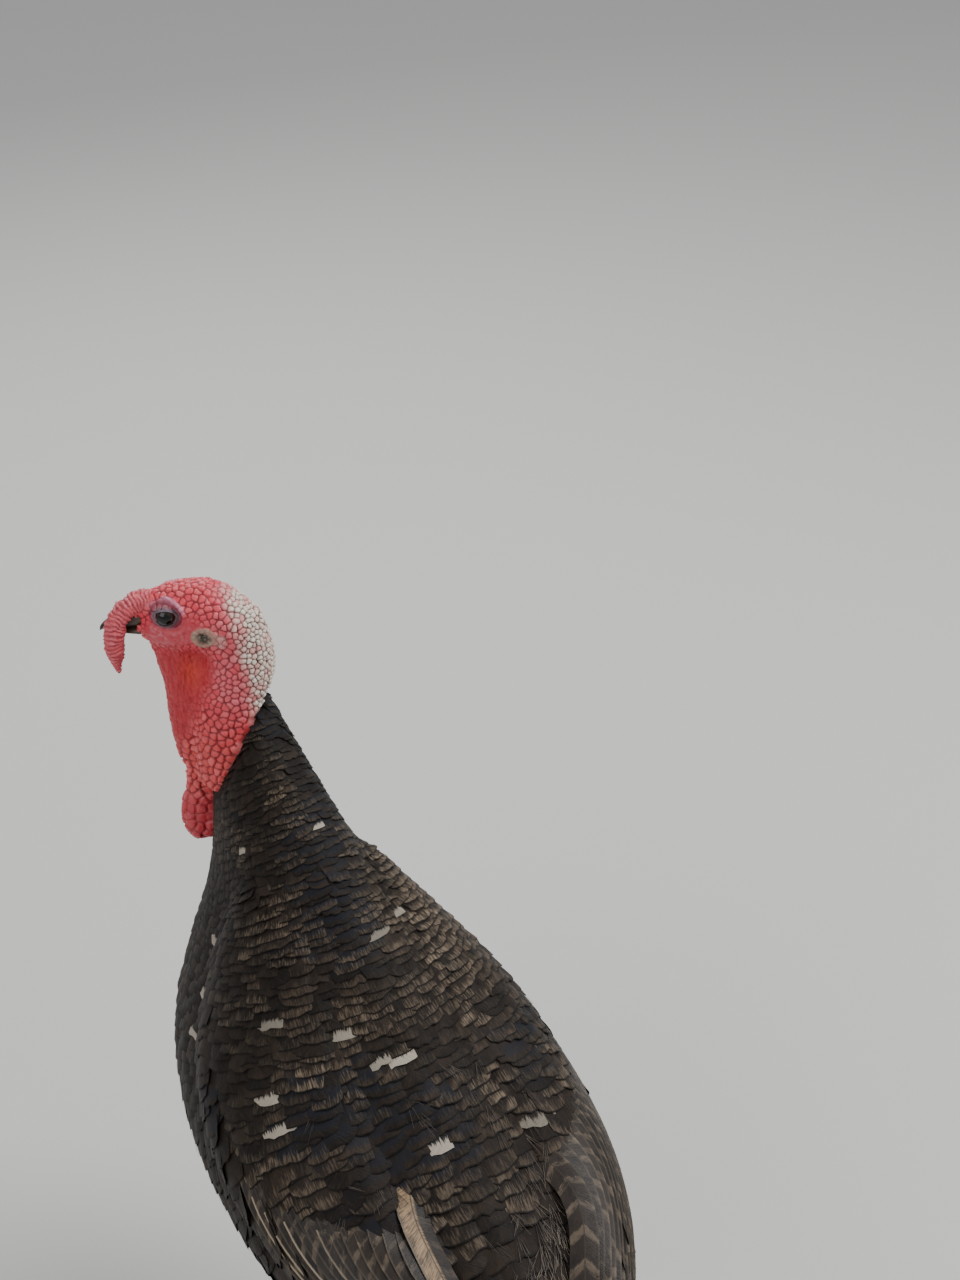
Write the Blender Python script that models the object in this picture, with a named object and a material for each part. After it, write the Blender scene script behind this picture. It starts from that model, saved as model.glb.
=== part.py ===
"""A domestic turkey tom, life size, standing alert with its head turned to its left.

The bird faces -Y, its left side is +X and the floor is Z = 0, in metres. Each solid is the outer shape of one
part of the body, out to the tips of its feathers. The trunk and the feathered neck are one loft through a few
named sections. The folded wings are plates that follow that loft, and the head, neck and legs are lofts of
their own. Neighbours are cut clear of each other with a thin gap.
"""

import math

import bmesh
import bpy
import numpy as np
from mathutils import Matrix, Vector

GAP = 0.0003  # the space between neighbouring pieces
UNCUT = {}  # the mesh of each carved piece as it was before its first cut
HOOP_SIDES = 28  # points round a section of the trunk

# The plumage from the nape to the root of the tail. Each section has its point on the back, its point on the
# breast or belly, both as (y, z), and its half width without the wings.
SECTIONS = {
    "nape": ((-0.140, 0.690), (-0.176, 0.662), 0.020),
    "upper_neck": ((-0.104, 0.650), (-0.158, 0.612), 0.027),
    "lower_neck": ((-0.055, 0.612), (-0.146, 0.563), 0.036),
    "hackle": ((-0.002, 0.577), (-0.146, 0.512), 0.046),
    "shoulder": ((0.050, 0.545), (-0.154, 0.462), 0.060),
    "crop": ((0.098, 0.510), (-0.166, 0.405), 0.085),
    "breast": ((0.138, 0.474), (-0.167, 0.340), 0.114),
    "mid_back": ((0.181, 0.439), (-0.133, 0.283), 0.133),
    "flank": ((0.220, 0.407), (-0.065, 0.242), 0.139),
    "loin": ((0.266, 0.378), (0.031, 0.222), 0.134),
    "rump": ((0.308, 0.351), (0.128, 0.224), 0.114),
    "vent": ((0.345, 0.327), (0.220, 0.242), 0.082),
    "tail_root": ((0.373, 0.309), (0.301, 0.264), 0.044),
}
WIDEST = 0.53  # where a section is widest, as a share of the way from belly to back
FULLNESS = 2.15  # the exponent of a section's oval: 2 is an ellipse

# The head is turned to the bird's left. Its own frame has +X towards the bill's tip, +Y to its left, and its
# origin between the eyes.
HEAD_PLACE = Vector((0.042, -0.157, 0.731))
HEAD_TURN = math.radians(-33)  # the angle of the bill's direction from +X
HEAD = Matrix.Translation(HEAD_PLACE) @ Matrix.Rotation(HEAD_TURN, 4, "Z")

# Legs
FOOT_APART = 0.068  # half the space between the feet
FOOT_Y = {"left": 0.070, "right": 0.098}
SHANK_LENGTH = 0.158
TOES = {  # name: direction in degrees from straight ahead, length, half width at the base
    "middle": (2, 0.082, 0.0080),
    "inner": (-38, 0.060, 0.0072),
    "outer": (40, 0.064, 0.0072),
    "hind": (172, 0.030, 0.0062),
}

# The feathers begin at a slanting line: high on the nape and low at the front of the neck, in the head's frame.
FEATHER_LINE = Vector((-0.0485, 0.022, -0.1246))
FEATHER_LINE_SQUARE = Vector((-0.886, 0.0, -0.463)).normalized()

TAIL_LENGTH = 0.340
TAIL_SLOPE = math.radians(-38)


# --- Materials and collections -------------------------------------------------------------------------------


def material(name, colour, roughness, metallic=0.0):
    made = bpy.data.materials.new(name)
    made.use_nodes = True
    shader = made.node_tree.nodes["Principled BSDF"]
    shader.inputs["Base Color"].default_value = (*colour, 1)
    shader.inputs["Roughness"].default_value = roughness
    shader.inputs["Metallic"].default_value = metallic
    made.diffuse_color = (*colour, 1)
    return made


def start():
    for obj in list(bpy.data.objects):
        bpy.data.objects.remove(obj)
    turkey = bpy.data.collections.new("domestic_turkey")
    bpy.context.scene.collection.children.link(turkey)
    return turkey


# --- Mesh helpers --------------------------------------------------------------------------------------------


def smooth_rows(rows, steps):
    """Rows of numbers read from a Catmull-Rom curve through the given rows, with this many steps to each."""
    rows = np.asarray(rows, float)
    ends = np.vstack([2 * rows[0] - rows[1], rows, 2 * rows[-1] - rows[-2]])
    found = []
    for i in range(len(rows) - 1):
        before, a, b, after = ends[i : i + 4]
        for t in np.arange(steps) / steps:
            found.append(curve_between(before, a, b, after, t))
    return np.array([*found, rows[-1]])


def curve_between(before, a, b, after, t):
    return 0.5 * (
        2 * a
        + (b - before) * t
        + (2 * before - 5 * a + 4 * b - after) * t**2
        + (3 * a - before - 3 * b + after) * t**3
    )


def object_of(name, mesh, look, home):
    obj = bpy.data.objects.new(name, mesh)
    obj.data.materials.clear()
    obj.data.materials.append(look)
    home.objects.link(obj)
    return obj


def loft(name, rings, look, home):
    """A closed body through rings of points that all have the same number of points."""
    shape = bmesh.new()
    rows = [[shape.verts.new(p) for p in ring] for ring in rings]
    for low, high in zip(rows, rows[1:]):
        for i in range(len(low)):
            j = (i + 1) % len(low)
            shape.faces.new((low[i], low[j], high[j], high[i]))
    for ring in (rows[0], rows[-1]):
        middle = shape.verts.new(sum((v.co for v in ring), Vector()) / len(ring))
        for i in range(len(ring)):
            shape.faces.new((ring[i], ring[(i + 1) % len(ring)], middle))
    bmesh.ops.recalc_face_normals(shape, faces=shape.faces)
    mesh = bpy.data.meshes.new(name)
    shape.to_mesh(mesh)
    shape.free()
    mesh.shade_smooth()
    return object_of(name, mesh, look, home)


def oval(middle, across, up, half_width, above, below=None, sides=16, fullness=2.0):
    """A ring of points round middle, with its own height above and below it."""
    below = above if below is None else below
    power = 2 / fullness
    ring = []
    for i in range(sides):
        a = 2 * math.pi * i / sides
        c, s = math.cos(a), math.sin(a)
        rise = (above if c > 0 else below) * math.copysign(abs(c) ** power, c)
        side = half_width * math.copysign(abs(s) ** power, s)
        ring.append(Vector(middle) + Vector(across) * side + Vector(up) * rise)
    return ring


def tube(name, path, look, home, across=(1, 0, 0), steps=2, sides=12, place=None):
    """A loft along rows of (x, y, z, half width, half height), square to the path, as seen from across."""
    rows = smooth_rows(path, steps)
    rings = []
    for i, row in enumerate(rows):
        along = Vector(rows[min(i + 1, len(rows) - 1)][:3]) - Vector(rows[max(i - 1, 0)][:3])
        side = Vector(across)
        side = (side - along.normalized() * side.dot(along.normalized())).normalized()
        up = along.cross(side).normalized()
        rings.append(oval(row[:3], side, up, row[3], row[4], sides=sides))
    made = loft(name, rings, look, home)
    if place is not None:
        made.data.transform(place)
    return made


def settle(obj):
    """Makes the object's evaluated mesh its own, so that no modifier is left on it."""
    graph = bpy.context.evaluated_depsgraph_get()
    mesh = bpy.data.meshes.new_from_object(obj.evaluated_get(graph))
    old = obj.data
    obj.modifiers.clear()
    obj.data = mesh
    mesh.name = obj.name
    bpy.data.meshes.remove(old)


def grown(obj, distance):
    """A cutter that stands out by this distance from the object, as it was before any cut."""
    cutter = obj.copy()
    cutter.data = UNCUT.get(obj.name, obj.data).copy()
    cutter.name = "cutter_" + obj.name
    shape = bmesh.new()
    shape.from_mesh(cutter.data)
    shape.normal_update()
    moved = [(v, v.co + v.normal * distance) for v in shape.verts]
    for vertex, place in moved:
        vertex.co = place
    shape.to_mesh(cutter.data)
    shape.free()
    bpy.context.scene.collection.objects.link(cutter)
    return cutter


def keep_largest(obj):
    """Drops the crumbs that a cut can leave beside the main body."""
    shape = bmesh.new()
    shape.from_mesh(obj.data)
    unseen, groups = set(shape.verts), []
    while unseen:
        front, group = [unseen.pop()], []
        while front:
            vertex = front.pop()
            group.append(vertex)
            for edge in vertex.link_edges:
                other = edge.other_vert(vertex)
                if other in unseen:
                    unseen.remove(other)
                    front.append(other)
        groups.append(group)
    groups.sort(key=len)
    for group in groups[:-1]:
        bmesh.ops.delete(shape, geom=group, context="VERTS")
    shape.to_mesh(obj.data)
    shape.free()


def carve(piece, *neighbours):
    """Cuts the neighbours out of the piece, each with the gap round it."""
    UNCUT.setdefault(piece.name, piece.data.copy())
    for neighbour in neighbours:
        cutter = grown(neighbour, GAP)
        cut = piece.modifiers.new("clear_of_" + neighbour.name, "BOOLEAN")
        cut.operation = "DIFFERENCE"
        cut.solver = "MANIFOLD"
        cut.object = cutter
        settle(piece)
        bpy.data.objects.remove(cutter)
    keep_largest(piece)
    return piece


def sliced(obj, point, normal):
    """Keeps what lies on the side of a plane that normal points away from, and closes the cut."""
    shape = bmesh.new()
    shape.from_mesh(obj.data)
    every = [*shape.verts, *shape.edges, *shape.faces]
    cut = bmesh.ops.bisect_plane(
        shape, geom=every, dist=1e-6, plane_co=point, plane_no=normal, clear_outer=True
    )
    rim = [e for e in cut["geom_cut"] if isinstance(e, bmesh.types.BMEdge)]
    bmesh.ops.triangle_fill(shape, edges=rim, use_beauty=True)
    bmesh.ops.recalc_face_normals(shape, faces=shape.faces)
    shape.to_mesh(obj.data)
    shape.free()
    return obj


def divide(obj, point, normal, other_name, home):
    """Parts an object in two along a plane. The side that normal points to gets the other name."""
    point, normal = Vector(point), Vector(normal).normalized()
    other = object_of(other_name, obj.data.copy(), obj.data.materials[0], home)
    sliced(obj, point - normal * GAP / 2, normal)
    sliced(other, point + normal * GAP / 2, -normal)
    return other


# --- The trunk and the feathered neck ------------------------------------------------------------------------


def body_rows():
    return [(*back, *belly, width) for back, belly, width in SECTIONS.values()]


def body_point(rows, t, degrees, out=0.0):
    """A point of the plumage, t from 0 at the nape to 1 at the tail, degrees from the back towards the left."""
    last = len(rows) - 1
    place = min(max(t, 0.0), 1.0) * last
    i = min(int(place), last - 1)
    low, high = np.array(rows[i]), np.array(rows[i + 1])
    before = np.array(rows[i - 1]) if i else 2 * low - high
    after = np.array(rows[i + 2]) if i + 2 <= last else 2 * high - low
    back_y, back_z, belly_y, belly_z, width = curve_between(before, low, high, after, place - i)
    up = Vector((0, back_y - belly_y, back_z - belly_z))
    middle = Vector((0, belly_y, belly_z)) + up * WIDEST
    height = up.length
    a = math.radians(degrees)
    power = 2 / FULLNESS
    rise = math.copysign(abs(math.cos(a)) ** power, math.cos(a))
    side = math.copysign(abs(math.sin(a)) ** power, math.sin(a))
    share = 1 - WIDEST if rise > 0 else WIDEST
    direction = up.normalized()
    outward = (Vector((1, 0, 0)) * side / width + direction * rise / (share * height)).normalized()
    return middle + Vector((1, 0, 0)) * side * width + direction * rise * share * height + outward * out


def make_plumage(look, home):
    """The neck's and trunk's feathers as one body, parted at the root of the neck."""
    rows = body_rows()
    count = 28
    rings = [
        [body_point(rows, i / count, 360 * j / HOOP_SIDES) for j in range(HOOP_SIDES)]
        for i in range(count + 1)
    ]
    trunk = loft("trunk", rings, look, home)
    neck_front = Vector((0, *SECTIONS["hackle"][1]))
    neck_back = Vector((0, *SECTIONS["hackle"][0]))
    along = Vector((1, 0, 0)).cross(neck_back - neck_front)
    neck = divide(trunk, (neck_front + neck_back) / 2, -along if along.z < 0 else along, "neck_feathered", home)
    return trunk, neck


# --- Wings ---------------------------------------------------------------------------------------------------


def wing_edges(t):
    """The upper and the lower edge of the folded wing, in degrees from the back, at t along the trunk."""
    share = (t - WING_START) / (WING_END - WING_START)
    upper = 34 - 26 * share**0.8
    lower = 93 - 70 * share**2.2
    nose = math.sqrt(max(0.0, 1 - (1 - min(share / 0.16, 1.0)) ** 2))
    tip = math.sqrt(max(0.0, 1 - max(0.0, (share - 0.80) / 0.20) ** 2))
    middle = (upper + lower) / 2 + 4
    half = (lower - upper) / 2 * min(nose, tip)
    return middle - half, middle + half


WING_START, WING_END, WING_SPLIT = 0.290, 0.985, 0.64
WING_THICK = 0.019
WING_EDGE = 0.0012
WING_LENGTH_STEPS, WING_ROUND_STEPS = 22, 8


def make_wing(side, look, home):
    """A folded wing: a domed plate that follows the trunk, parted into its coverts and its long quills."""
    sign = 1 if side == "left" else -1
    rows = body_rows()
    rings = []
    for i in range(WING_LENGTH_STEPS + 1):
        share = 0.004 + 0.992 * i / WING_LENGTH_STEPS
        t = WING_START + (WING_END - WING_START) * share
        upper, lower = wing_edges(t)
        swell = 0.30 + 0.70 * math.sin(math.pi * share**0.7)
        outer, inner = [], []
        for j in range(WING_ROUND_STEPS + 1):
            v = j / WING_ROUND_STEPS
            degrees = sign * (upper + (lower - upper) * v)
            dome = (1 - abs(2 * v - 1) ** 2.6) ** 0.7
            thick = WING_EDGE + WING_THICK * swell * dome
            outer.append(body_point(rows, t, degrees, GAP * 4 + thick))
            inner.append(body_point(rows, t, degrees, GAP * 4))
        rings.append(outer + inner[::-1])
    coverts = loft("wing_" + side, rings, look, home)
    cut_at = body_point(rows, WING_SPLIT, sign * 55)
    ahead = (body_point(rows, WING_SPLIT + 0.02, sign * 55) - cut_at).normalized()
    quills = divide(coverts, cut_at, ahead, "wing_quills_" + side, home)
    return coverts, quills


# --- Tail ----------------------------------------------------------------------------------------------------


def make_tail(look, home):
    """The folded tail: a low roof of long feathers with a rounded end."""
    along = Vector((0, math.cos(TAIL_SLOPE), math.sin(TAIL_SLOPE)))
    up = Vector((0, -math.sin(TAIL_SLOPE), math.cos(TAIL_SLOPE)))
    root = Vector((0, 0.262, 0.384))
    rings = []
    steps, across = 14, 8
    for i in range(steps + 1):
        t = i / steps
        spread = 0.036 + 0.050 * t**0.8
        if t > 0.80:
            spread *= math.sqrt(max(0.02, 1 - ((t - 0.80) / 0.204) ** 2))
        thick = 0.062 * (1 - t) ** 1.7 + 0.0055
        droop = 0.020 + 0.006 * t
        top, under = [], []
        for j in range(across + 1):
            v = 2 * j / across - 1
            spine = root + along * (TAIL_LENGTH * 1.09 * t) - up * (droop * abs(v) ** 1.5)
            bulk = thick * (1 - 0.75 * abs(v) ** 2)
            top.append(spine + Vector((spread * v, 0, 0)))
            under.append(spine + Vector((spread * v, 0, 0)) - up * bulk)
        rings.append(top + under[::-1])
    return loft("tail", rings, look, home)


# --- Beard ---------------------------------------------------------------------------------------------------

BEARD = [
    (0.0, -0.1600, 0.412, 0.0075, 0.0060),
    (0.0, -0.1725, 0.392, 0.0075, 0.0060),
    (0.0, -0.1795, 0.362, 0.0080, 0.0055),
    (0.0, -0.1810, 0.328, 0.0085, 0.0050),
    (0.0, -0.1790, 0.300, 0.0065, 0.0035),
    (0.0, -0.1780, 0.288, 0.0030, 0.0018),
]


# --- Head ----------------------------------------------------------------------------------------------------

# Sections of the bare head in its own frame: x, the crown's height, the jaw's depth and the half width.
SKULL = [
    (0.0235, -0.0035, -0.0245, 0.0080),
    (0.0190, 0.0055, -0.0290, 0.0118),
    (0.0100, 0.0120, -0.0335, 0.0158),
    (0.0000, 0.0172, -0.0370, 0.0190),
    (-0.0150, 0.0212, -0.0400, 0.0222),
    (-0.0330, 0.0215, -0.0430, 0.0245),
    (-0.0490, 0.0140, -0.0460, 0.0252),
    (-0.0620, 0.0025, -0.0480, 0.0230),
    (-0.0725, -0.0120, -0.0480, 0.0170),
    (-0.0775, -0.0240, -0.0410, 0.0085),
]
# The bare neck's middle line in the head's frame, with its half widths across and fore-and-aft.
BARE_NECK = [
    (-0.0480, 0.000, -0.010, 0.0205, 0.0250),
    (-0.0535, 0.001, -0.038, 0.0240, 0.0280),
    (-0.0525, 0.002, -0.060, 0.0258, 0.0290),
    (-0.0470, 0.004, -0.086, 0.0265, 0.0285),
    (-0.0425, 0.008, -0.110, 0.0262, 0.0275),
    (-0.0410, 0.013, -0.135, 0.0250, 0.0255),
    (-0.0400, 0.016, -0.158, 0.0230, 0.0235),
]
# The fold of skin from the chin to the front of the neck, as a thin fin.
DEWLAP = [
    (-0.0020, 0.0000, -0.028, 0.0095, 0.0190),
    (-0.0085, 0.0000, -0.050, 0.0105, 0.0205),
    (-0.0105, 0.0005, -0.073, 0.0105, 0.0185),
    (-0.0135, 0.0015, -0.094, 0.0115, 0.0205),
    (-0.0150, 0.0025, -0.115, 0.0125, 0.0205),
    (-0.0165, 0.0030, -0.134, 0.0125, 0.0190),
    (-0.0185, 0.0030, -0.150, 0.0120, 0.0150),
]
CARUNCLES = [
    (-0.0185, 0.0030, -0.149, 0.0115, 0.0145),
    (-0.0165, 0.0030, -0.166, 0.0110, 0.0130),
    (-0.0145, 0.0020, -0.183, 0.0115, 0.0130),
    (-0.0115, 0.0010, -0.199, 0.0135, 0.0150),
    (-0.0110, 0.0010, -0.214, 0.0140, 0.0150),
    (-0.0125, 0.0010, -0.226, 0.0110, 0.0115),
    (-0.0140, 0.0010, -0.232, 0.0045, 0.0050),
]
# The snood leaves the forehead, crosses the bill and hangs down on its left side.
SNOOD = [
    (0.0080, 0.0000, 0.0095, 0.0070, 0.0055),
    (0.0200, 0.0020, 0.0060, 0.0085, 0.0070),
    (0.0300, 0.0065, 0.0010, 0.0088, 0.0078),
    (0.0370, 0.0125, -0.0080, 0.0086, 0.0080),
    (0.0393, 0.0158, -0.0200, 0.0080, 0.0077),
    (0.0394, 0.0165, -0.0330, 0.0068, 0.0067),
    (0.0392, 0.0163, -0.0450, 0.0046, 0.0046),
    (0.0385, 0.0158, -0.0545, 0.0020, 0.0020),
]
EYE_RADIUS = 0.0088
EYE_PLACE = Vector((-0.0025, 0.0140, 0.0010))
EAR_PLACE = Vector((-0.0315, 0.0232, -0.0145))
EAR_RADIUS = 0.0085


def make_head(looks, home):
    rings = []
    for x, crown, jaw, width in smooth_rows(SKULL, 1):
        middle = jaw + (crown - jaw) * 0.48
        ring = oval((x, 0, middle), (0, 1, 0), (0, 0, 1), width, crown - middle, middle - jaw, 18, 2.2)
        rings.append([HEAD @ p for p in ring])
    return loft("head", rings, looks["bare_skin"], home)


def make_bill(name, rows, look, home):
    """Half of the bill: rows of x, its upper edge, its lower edge and its half width."""
    rings = []
    for x, high, low, width in rows:
        middle = (high + low) / 2
        ring = oval((x, 0, middle), (0, 1, 0), (0, 0, 1), width, (high - low) / 2, sides=12, fullness=2.3)
        rings.append([HEAD @ p for p in ring])
    return loft(name, rings, look, home)


UPPER_BILL = [
    (0.0120, -0.0010, -0.0165, 0.0085),
    (0.0220, -0.0020, -0.0172, 0.0084),
    (0.0330, -0.0055, -0.0178, 0.0070),
    (0.0430, -0.0105, -0.0188, 0.0050),
    (0.0500, -0.0160, -0.0215, 0.0028),
    (0.0530, -0.0205, -0.0245, 0.0010),
]
LOWER_BILL = [
    (0.0100, -0.0176, -0.0255, 0.0078),
    (0.0220, -0.0179, -0.0252, 0.0074),
    (0.0330, -0.0186, -0.0246, 0.0060),
    (0.0410, -0.0197, -0.0240, 0.0040),
    (0.0450, -0.0208, -0.0235, 0.0018),
]


def ball(name, place, radius, look, home, stretch=(1, 1, 1)):
    shape = bmesh.new()
    bmesh.ops.create_uvsphere(shape, u_segments=12, v_segments=8, radius=radius)
    mesh = bpy.data.meshes.new(name)
    shape.to_mesh(mesh)
    shape.free()
    mesh.transform(HEAD @ Matrix.Translation(place) @ Matrix.Diagonal((*stretch, 1)))
    mesh.shade_smooth()
    return object_of(name, mesh, look, home)


def make_face(looks, home):
    """The head with its bill, eyes, ears and snood, each cut clear of the others."""
    pieces = {
        "bill_upper": make_bill("bill_upper", UPPER_BILL, looks["bill_horn"], home),
        "bill_lower": make_bill("bill_lower", LOWER_BILL, looks["bill_horn"], home),
    }
    for side, sign in (("left", 1), ("right", -1)):
        eye = EYE_PLACE * 1
        eye.y *= sign
        pieces["eye_" + side] = ball("eye_" + side, eye, EYE_RADIUS, looks["eye"], home)
        ear = EAR_PLACE * 1
        ear.y *= sign
        pieces["ear_" + side] = ball(
            "ear_" + side, ear, EAR_RADIUS, looks["bare_skin"], home, (1.15, 0.35, 1)
        )
    head = carve(make_head(looks, home), *pieces.values())
    snood = tube("snood", SNOOD, looks["bare_skin"], home, (0, 1, 0), place=HEAD, sides=10)
    carve(snood, head, pieces["bill_upper"], pieces["bill_lower"])
    return head, snood, pieces


# --- Legs ----------------------------------------------------------------------------------------------------


def make_leg(side, trunk, wings, looks, home):
    sign = 1 if side == "left" else -1
    x, y = sign * FOOT_APART, FOOT_Y[side]
    hock = Vector((x, y + 0.034, SHANK_LENGTH + 0.012))
    ankle = Vector((x, y, 0.0175))
    shank = tube(
        "shank_" + side,
        [
            (*(hock + Vector((0, 0.002, 0.010))), 0.0105, 0.0125),
            (*hock, 0.0125, 0.0150),
            (*hock.lerp(ankle, 0.14), 0.0095, 0.0120),
            (*hock.lerp(ankle, 0.5), 0.0082, 0.0102),
            (*hock.lerp(ankle, 0.85), 0.0088, 0.0105),
            (*hock.lerp(ankle, 0.97), 0.0112, 0.0115),
            (x, y - 0.002, 0.0040, 0.0105, 0.0110),
        ],
        looks["leg_scale"],
        home,
    )
    thigh = tube(
        "thigh_" + side,
        [
            (x * 0.86, y - 0.040, 0.330, 0.052, 0.074),
            (x * 0.92, y - 0.022, 0.275, 0.052, 0.070),
            (x * 0.98, y + 0.004, 0.232, 0.040, 0.053),
            (x, y + 0.022, 0.200, 0.0270, 0.0340),
            (x, y + 0.031, 0.180, 0.0185, 0.0225),
            (x, y + 0.034, 0.170, 0.0135, 0.0165),
        ],
        looks["plumage"],
        home,
    )
    carve(shank, thigh)
    carve(thigh, trunk, *wings)
    toes = [make_toe(side, toe, Vector((x, y, 0)), looks, home) for toe in TOES]
    for i, (toe, _) in enumerate(toes):
        carve(toe, shank, *[other for other, _ in toes[:i]])
    spur = tube(
        "spur_" + side,
        [
            (x - sign * 0.002, y + 0.014, 0.062, 0.0055, 0.0055),
            (x - sign * 0.004, y + 0.024, 0.064, 0.0042, 0.0042),
            (x - sign * 0.006, y + 0.032, 0.068, 0.0020, 0.0020),
            (x - sign * 0.007, y + 0.036, 0.071, 0.0006, 0.0006),
        ],
        looks["claw_horn"],
        home,
        sides=8,
    )
    carve(spur, shank)
    for piece in (shank, *[piece for toe in toes for piece in toe]):
        sliced(piece, (0, 0, 0), (0, 0, -1))
    return thigh, shank


def make_toe(side, name, foot, looks, home):
    """One toe with its claw, flat under its pads."""
    degrees, length, width = TOES[name]
    sign = 1 if side == "left" else -1
    turn = math.radians(degrees) * sign
    ahead = Vector((math.sin(turn), -math.cos(turn), 0))
    side_way = Vector((ahead.y, -ahead.x, 0))
    rows = []
    for share, swell, height in (
        (-0.02, 1.00, 0.0095),
        (0.14, 1.06, 0.0090),
        (0.30, 0.90, 0.0078),
        (0.42, 1.00, 0.0078),
        (0.56, 0.82, 0.0066),
        (0.68, 0.92, 0.0066),
        (0.82, 0.74, 0.0056),
        (0.94, 0.74, 0.0052),
        (1.00, 0.44, 0.0046),
    ):
        place = foot + ahead * (length * share)
        rows.append((place.x, place.y, height * swell * 0.82, width * swell, height * swell))
    toe = tube(f"toe_{name}_{side}", rows, looks["leg_scale"], home, side_way, steps=1, sides=8)
    tip = foot + ahead * length
    claw_rows = []
    for share, size, rise in (
        (-0.35, 0.0032, 0.0062),
        (0.0, 0.0034, 0.0066),
        (0.4, 0.0028, 0.0058),
        (0.8, 0.0015, 0.0030),
        (1.0, 0.0005, 0.0012),
    ):
        place = tip + ahead * (0.016 * share)
        claw_rows.append((place.x, place.y, rise, size * 0.85, size))
    claw = tube(f"claw_{name}_{side}", claw_rows, looks["claw_horn"], home, side_way, steps=1, sides=6)
    carve(toe, claw)
    return toe, claw


def stand_on_origin(home):
    """Moves the bird so that the middle of its box's underside is the origin."""
    points = np.array([v.co for obj in home.objects for v in obj.data.vertices])
    low, high = points.min(axis=0), points.max(axis=0)
    shift = Matrix.Translation((-(low[0] + high[0]) / 2, -(low[1] + high[1]) / 2, -low[2]))
    for obj in home.objects:
        obj.data.transform(shift)


# --- The whole bird ------------------------------------------------------------------------------------------


def main():
    home = start()
    looks = {
        "plumage": material("plumage", (0.045, 0.034, 0.028), 0.55),
        "quills": material("quills", (0.035, 0.028, 0.024), 0.45),
        "beard": material("beard", (0.015, 0.013, 0.012), 0.5),
        "bare_skin": material("bare_skin", (0.62, 0.10, 0.10), 0.42),
        "bill_horn": material("bill_horn", (0.16, 0.12, 0.09), 0.35),
        "eye": material("eye", (0.02, 0.012, 0.010), 0.05),
        "leg_scale": material("leg_scale", (0.30, 0.20, 0.17), 0.5),
        "claw_horn": material("claw_horn", (0.10, 0.08, 0.07), 0.4),
    }
    trunk, neck = make_plumage(looks["plumage"], home)
    head, snood, face = make_face(looks, home)
    bare_neck = tube("neck_bare", BARE_NECK, looks["bare_skin"], home, (0, 1, 0), place=HEAD, sides=16)
    dewlap = tube("dewlap", DEWLAP, looks["bare_skin"], home, (0, 1, 0), place=HEAD)
    caruncles = tube("caruncles", CARUNCLES, looks["bare_skin"], home, (0, 1, 0), place=HEAD)
    wings = []
    for side in ("left", "right"):
        wings += make_wing(side, looks["plumage"], home)
    tail = make_tail(looks["quills"], home)
    beard = tube("beard", BEARD, looks["beard"], home, sides=10)
    carve(beard, trunk)
    for side in ("left", "right"):
        make_leg(side, trunk, wings, looks, home)
    place = HEAD @ FEATHER_LINE
    square = HEAD.to_3x3() @ FEATHER_LINE_SQUARE
    sliced(bare_neck, place - square * GAP, square)
    sliced(neck, place, -square)
    carve(bare_neck, head, *[face[n] for n in face if n.startswith("ear")])
    carve(dewlap, head, bare_neck, neck, face["bill_lower"])
    carve(caruncles, dewlap, bare_neck, neck)
    carve(tail, trunk, *wings)
    stand_on_origin(home)


main()
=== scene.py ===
"""The looks of the domestic turkey tom: one skin over the flesh, a coat of vanes, horn, eyes and claws.

Lengths are in metres. The bird faces -Y and its left side is +X. Places on the plumage are given by t, from
0 at the nape to 1 at the tail's root, and by degrees round the body from the back towards the bird's left.
Places on the head are given in the head's own frame: +X to the bill's tip, +Y to its left, +Z up, with the
origin between the eyes.
"""

import math

import bmesh
import bpy
import numpy as np
from mathutils import Matrix, Vector
from mathutils.bvhtree import BVHTree
from mathutils.kdtree import KDTree


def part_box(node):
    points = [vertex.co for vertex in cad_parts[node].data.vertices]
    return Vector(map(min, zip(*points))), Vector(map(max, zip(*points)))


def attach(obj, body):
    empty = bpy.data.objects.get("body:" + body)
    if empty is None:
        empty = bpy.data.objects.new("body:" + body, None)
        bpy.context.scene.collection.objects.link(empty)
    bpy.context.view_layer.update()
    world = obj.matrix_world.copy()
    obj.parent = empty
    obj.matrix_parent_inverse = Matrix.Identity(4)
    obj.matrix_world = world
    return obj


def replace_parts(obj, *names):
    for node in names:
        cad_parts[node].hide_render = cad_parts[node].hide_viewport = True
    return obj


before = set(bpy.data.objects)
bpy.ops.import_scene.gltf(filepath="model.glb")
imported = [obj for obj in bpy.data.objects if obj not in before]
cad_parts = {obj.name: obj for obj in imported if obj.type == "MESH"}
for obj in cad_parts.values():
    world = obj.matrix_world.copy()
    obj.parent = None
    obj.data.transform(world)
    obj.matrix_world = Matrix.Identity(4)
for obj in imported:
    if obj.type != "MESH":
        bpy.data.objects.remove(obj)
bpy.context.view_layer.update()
MM = 0.001

# --- Where things are -----------------------------------------------------------------------------

HEAD_TURN = math.radians(-33)
EYE_PLACE = Vector((-0.0025, 0.0140, 0.0010))
EYE_RADIUS = 0.0088
HEAD_FROM_FLOOR = Vector((0.042, -0.157, 0.731))  # the head's origin before the bird is centred on its box

eye_low, eye_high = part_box("eye_left")
eye_middle = (Vector(eye_low) + Vector(eye_high)) / 2
TURN = Matrix.Rotation(HEAD_TURN, 4, "Z")
HEAD = Matrix.Translation(eye_middle - TURN @ EYE_PLACE) @ TURN
SHIFT = HEAD.translation - HEAD_FROM_FLOOR
HEAD_AXES = np.array(TURN.to_3x3())
HEAD_ORIGIN = np.array(HEAD.translation)

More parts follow.
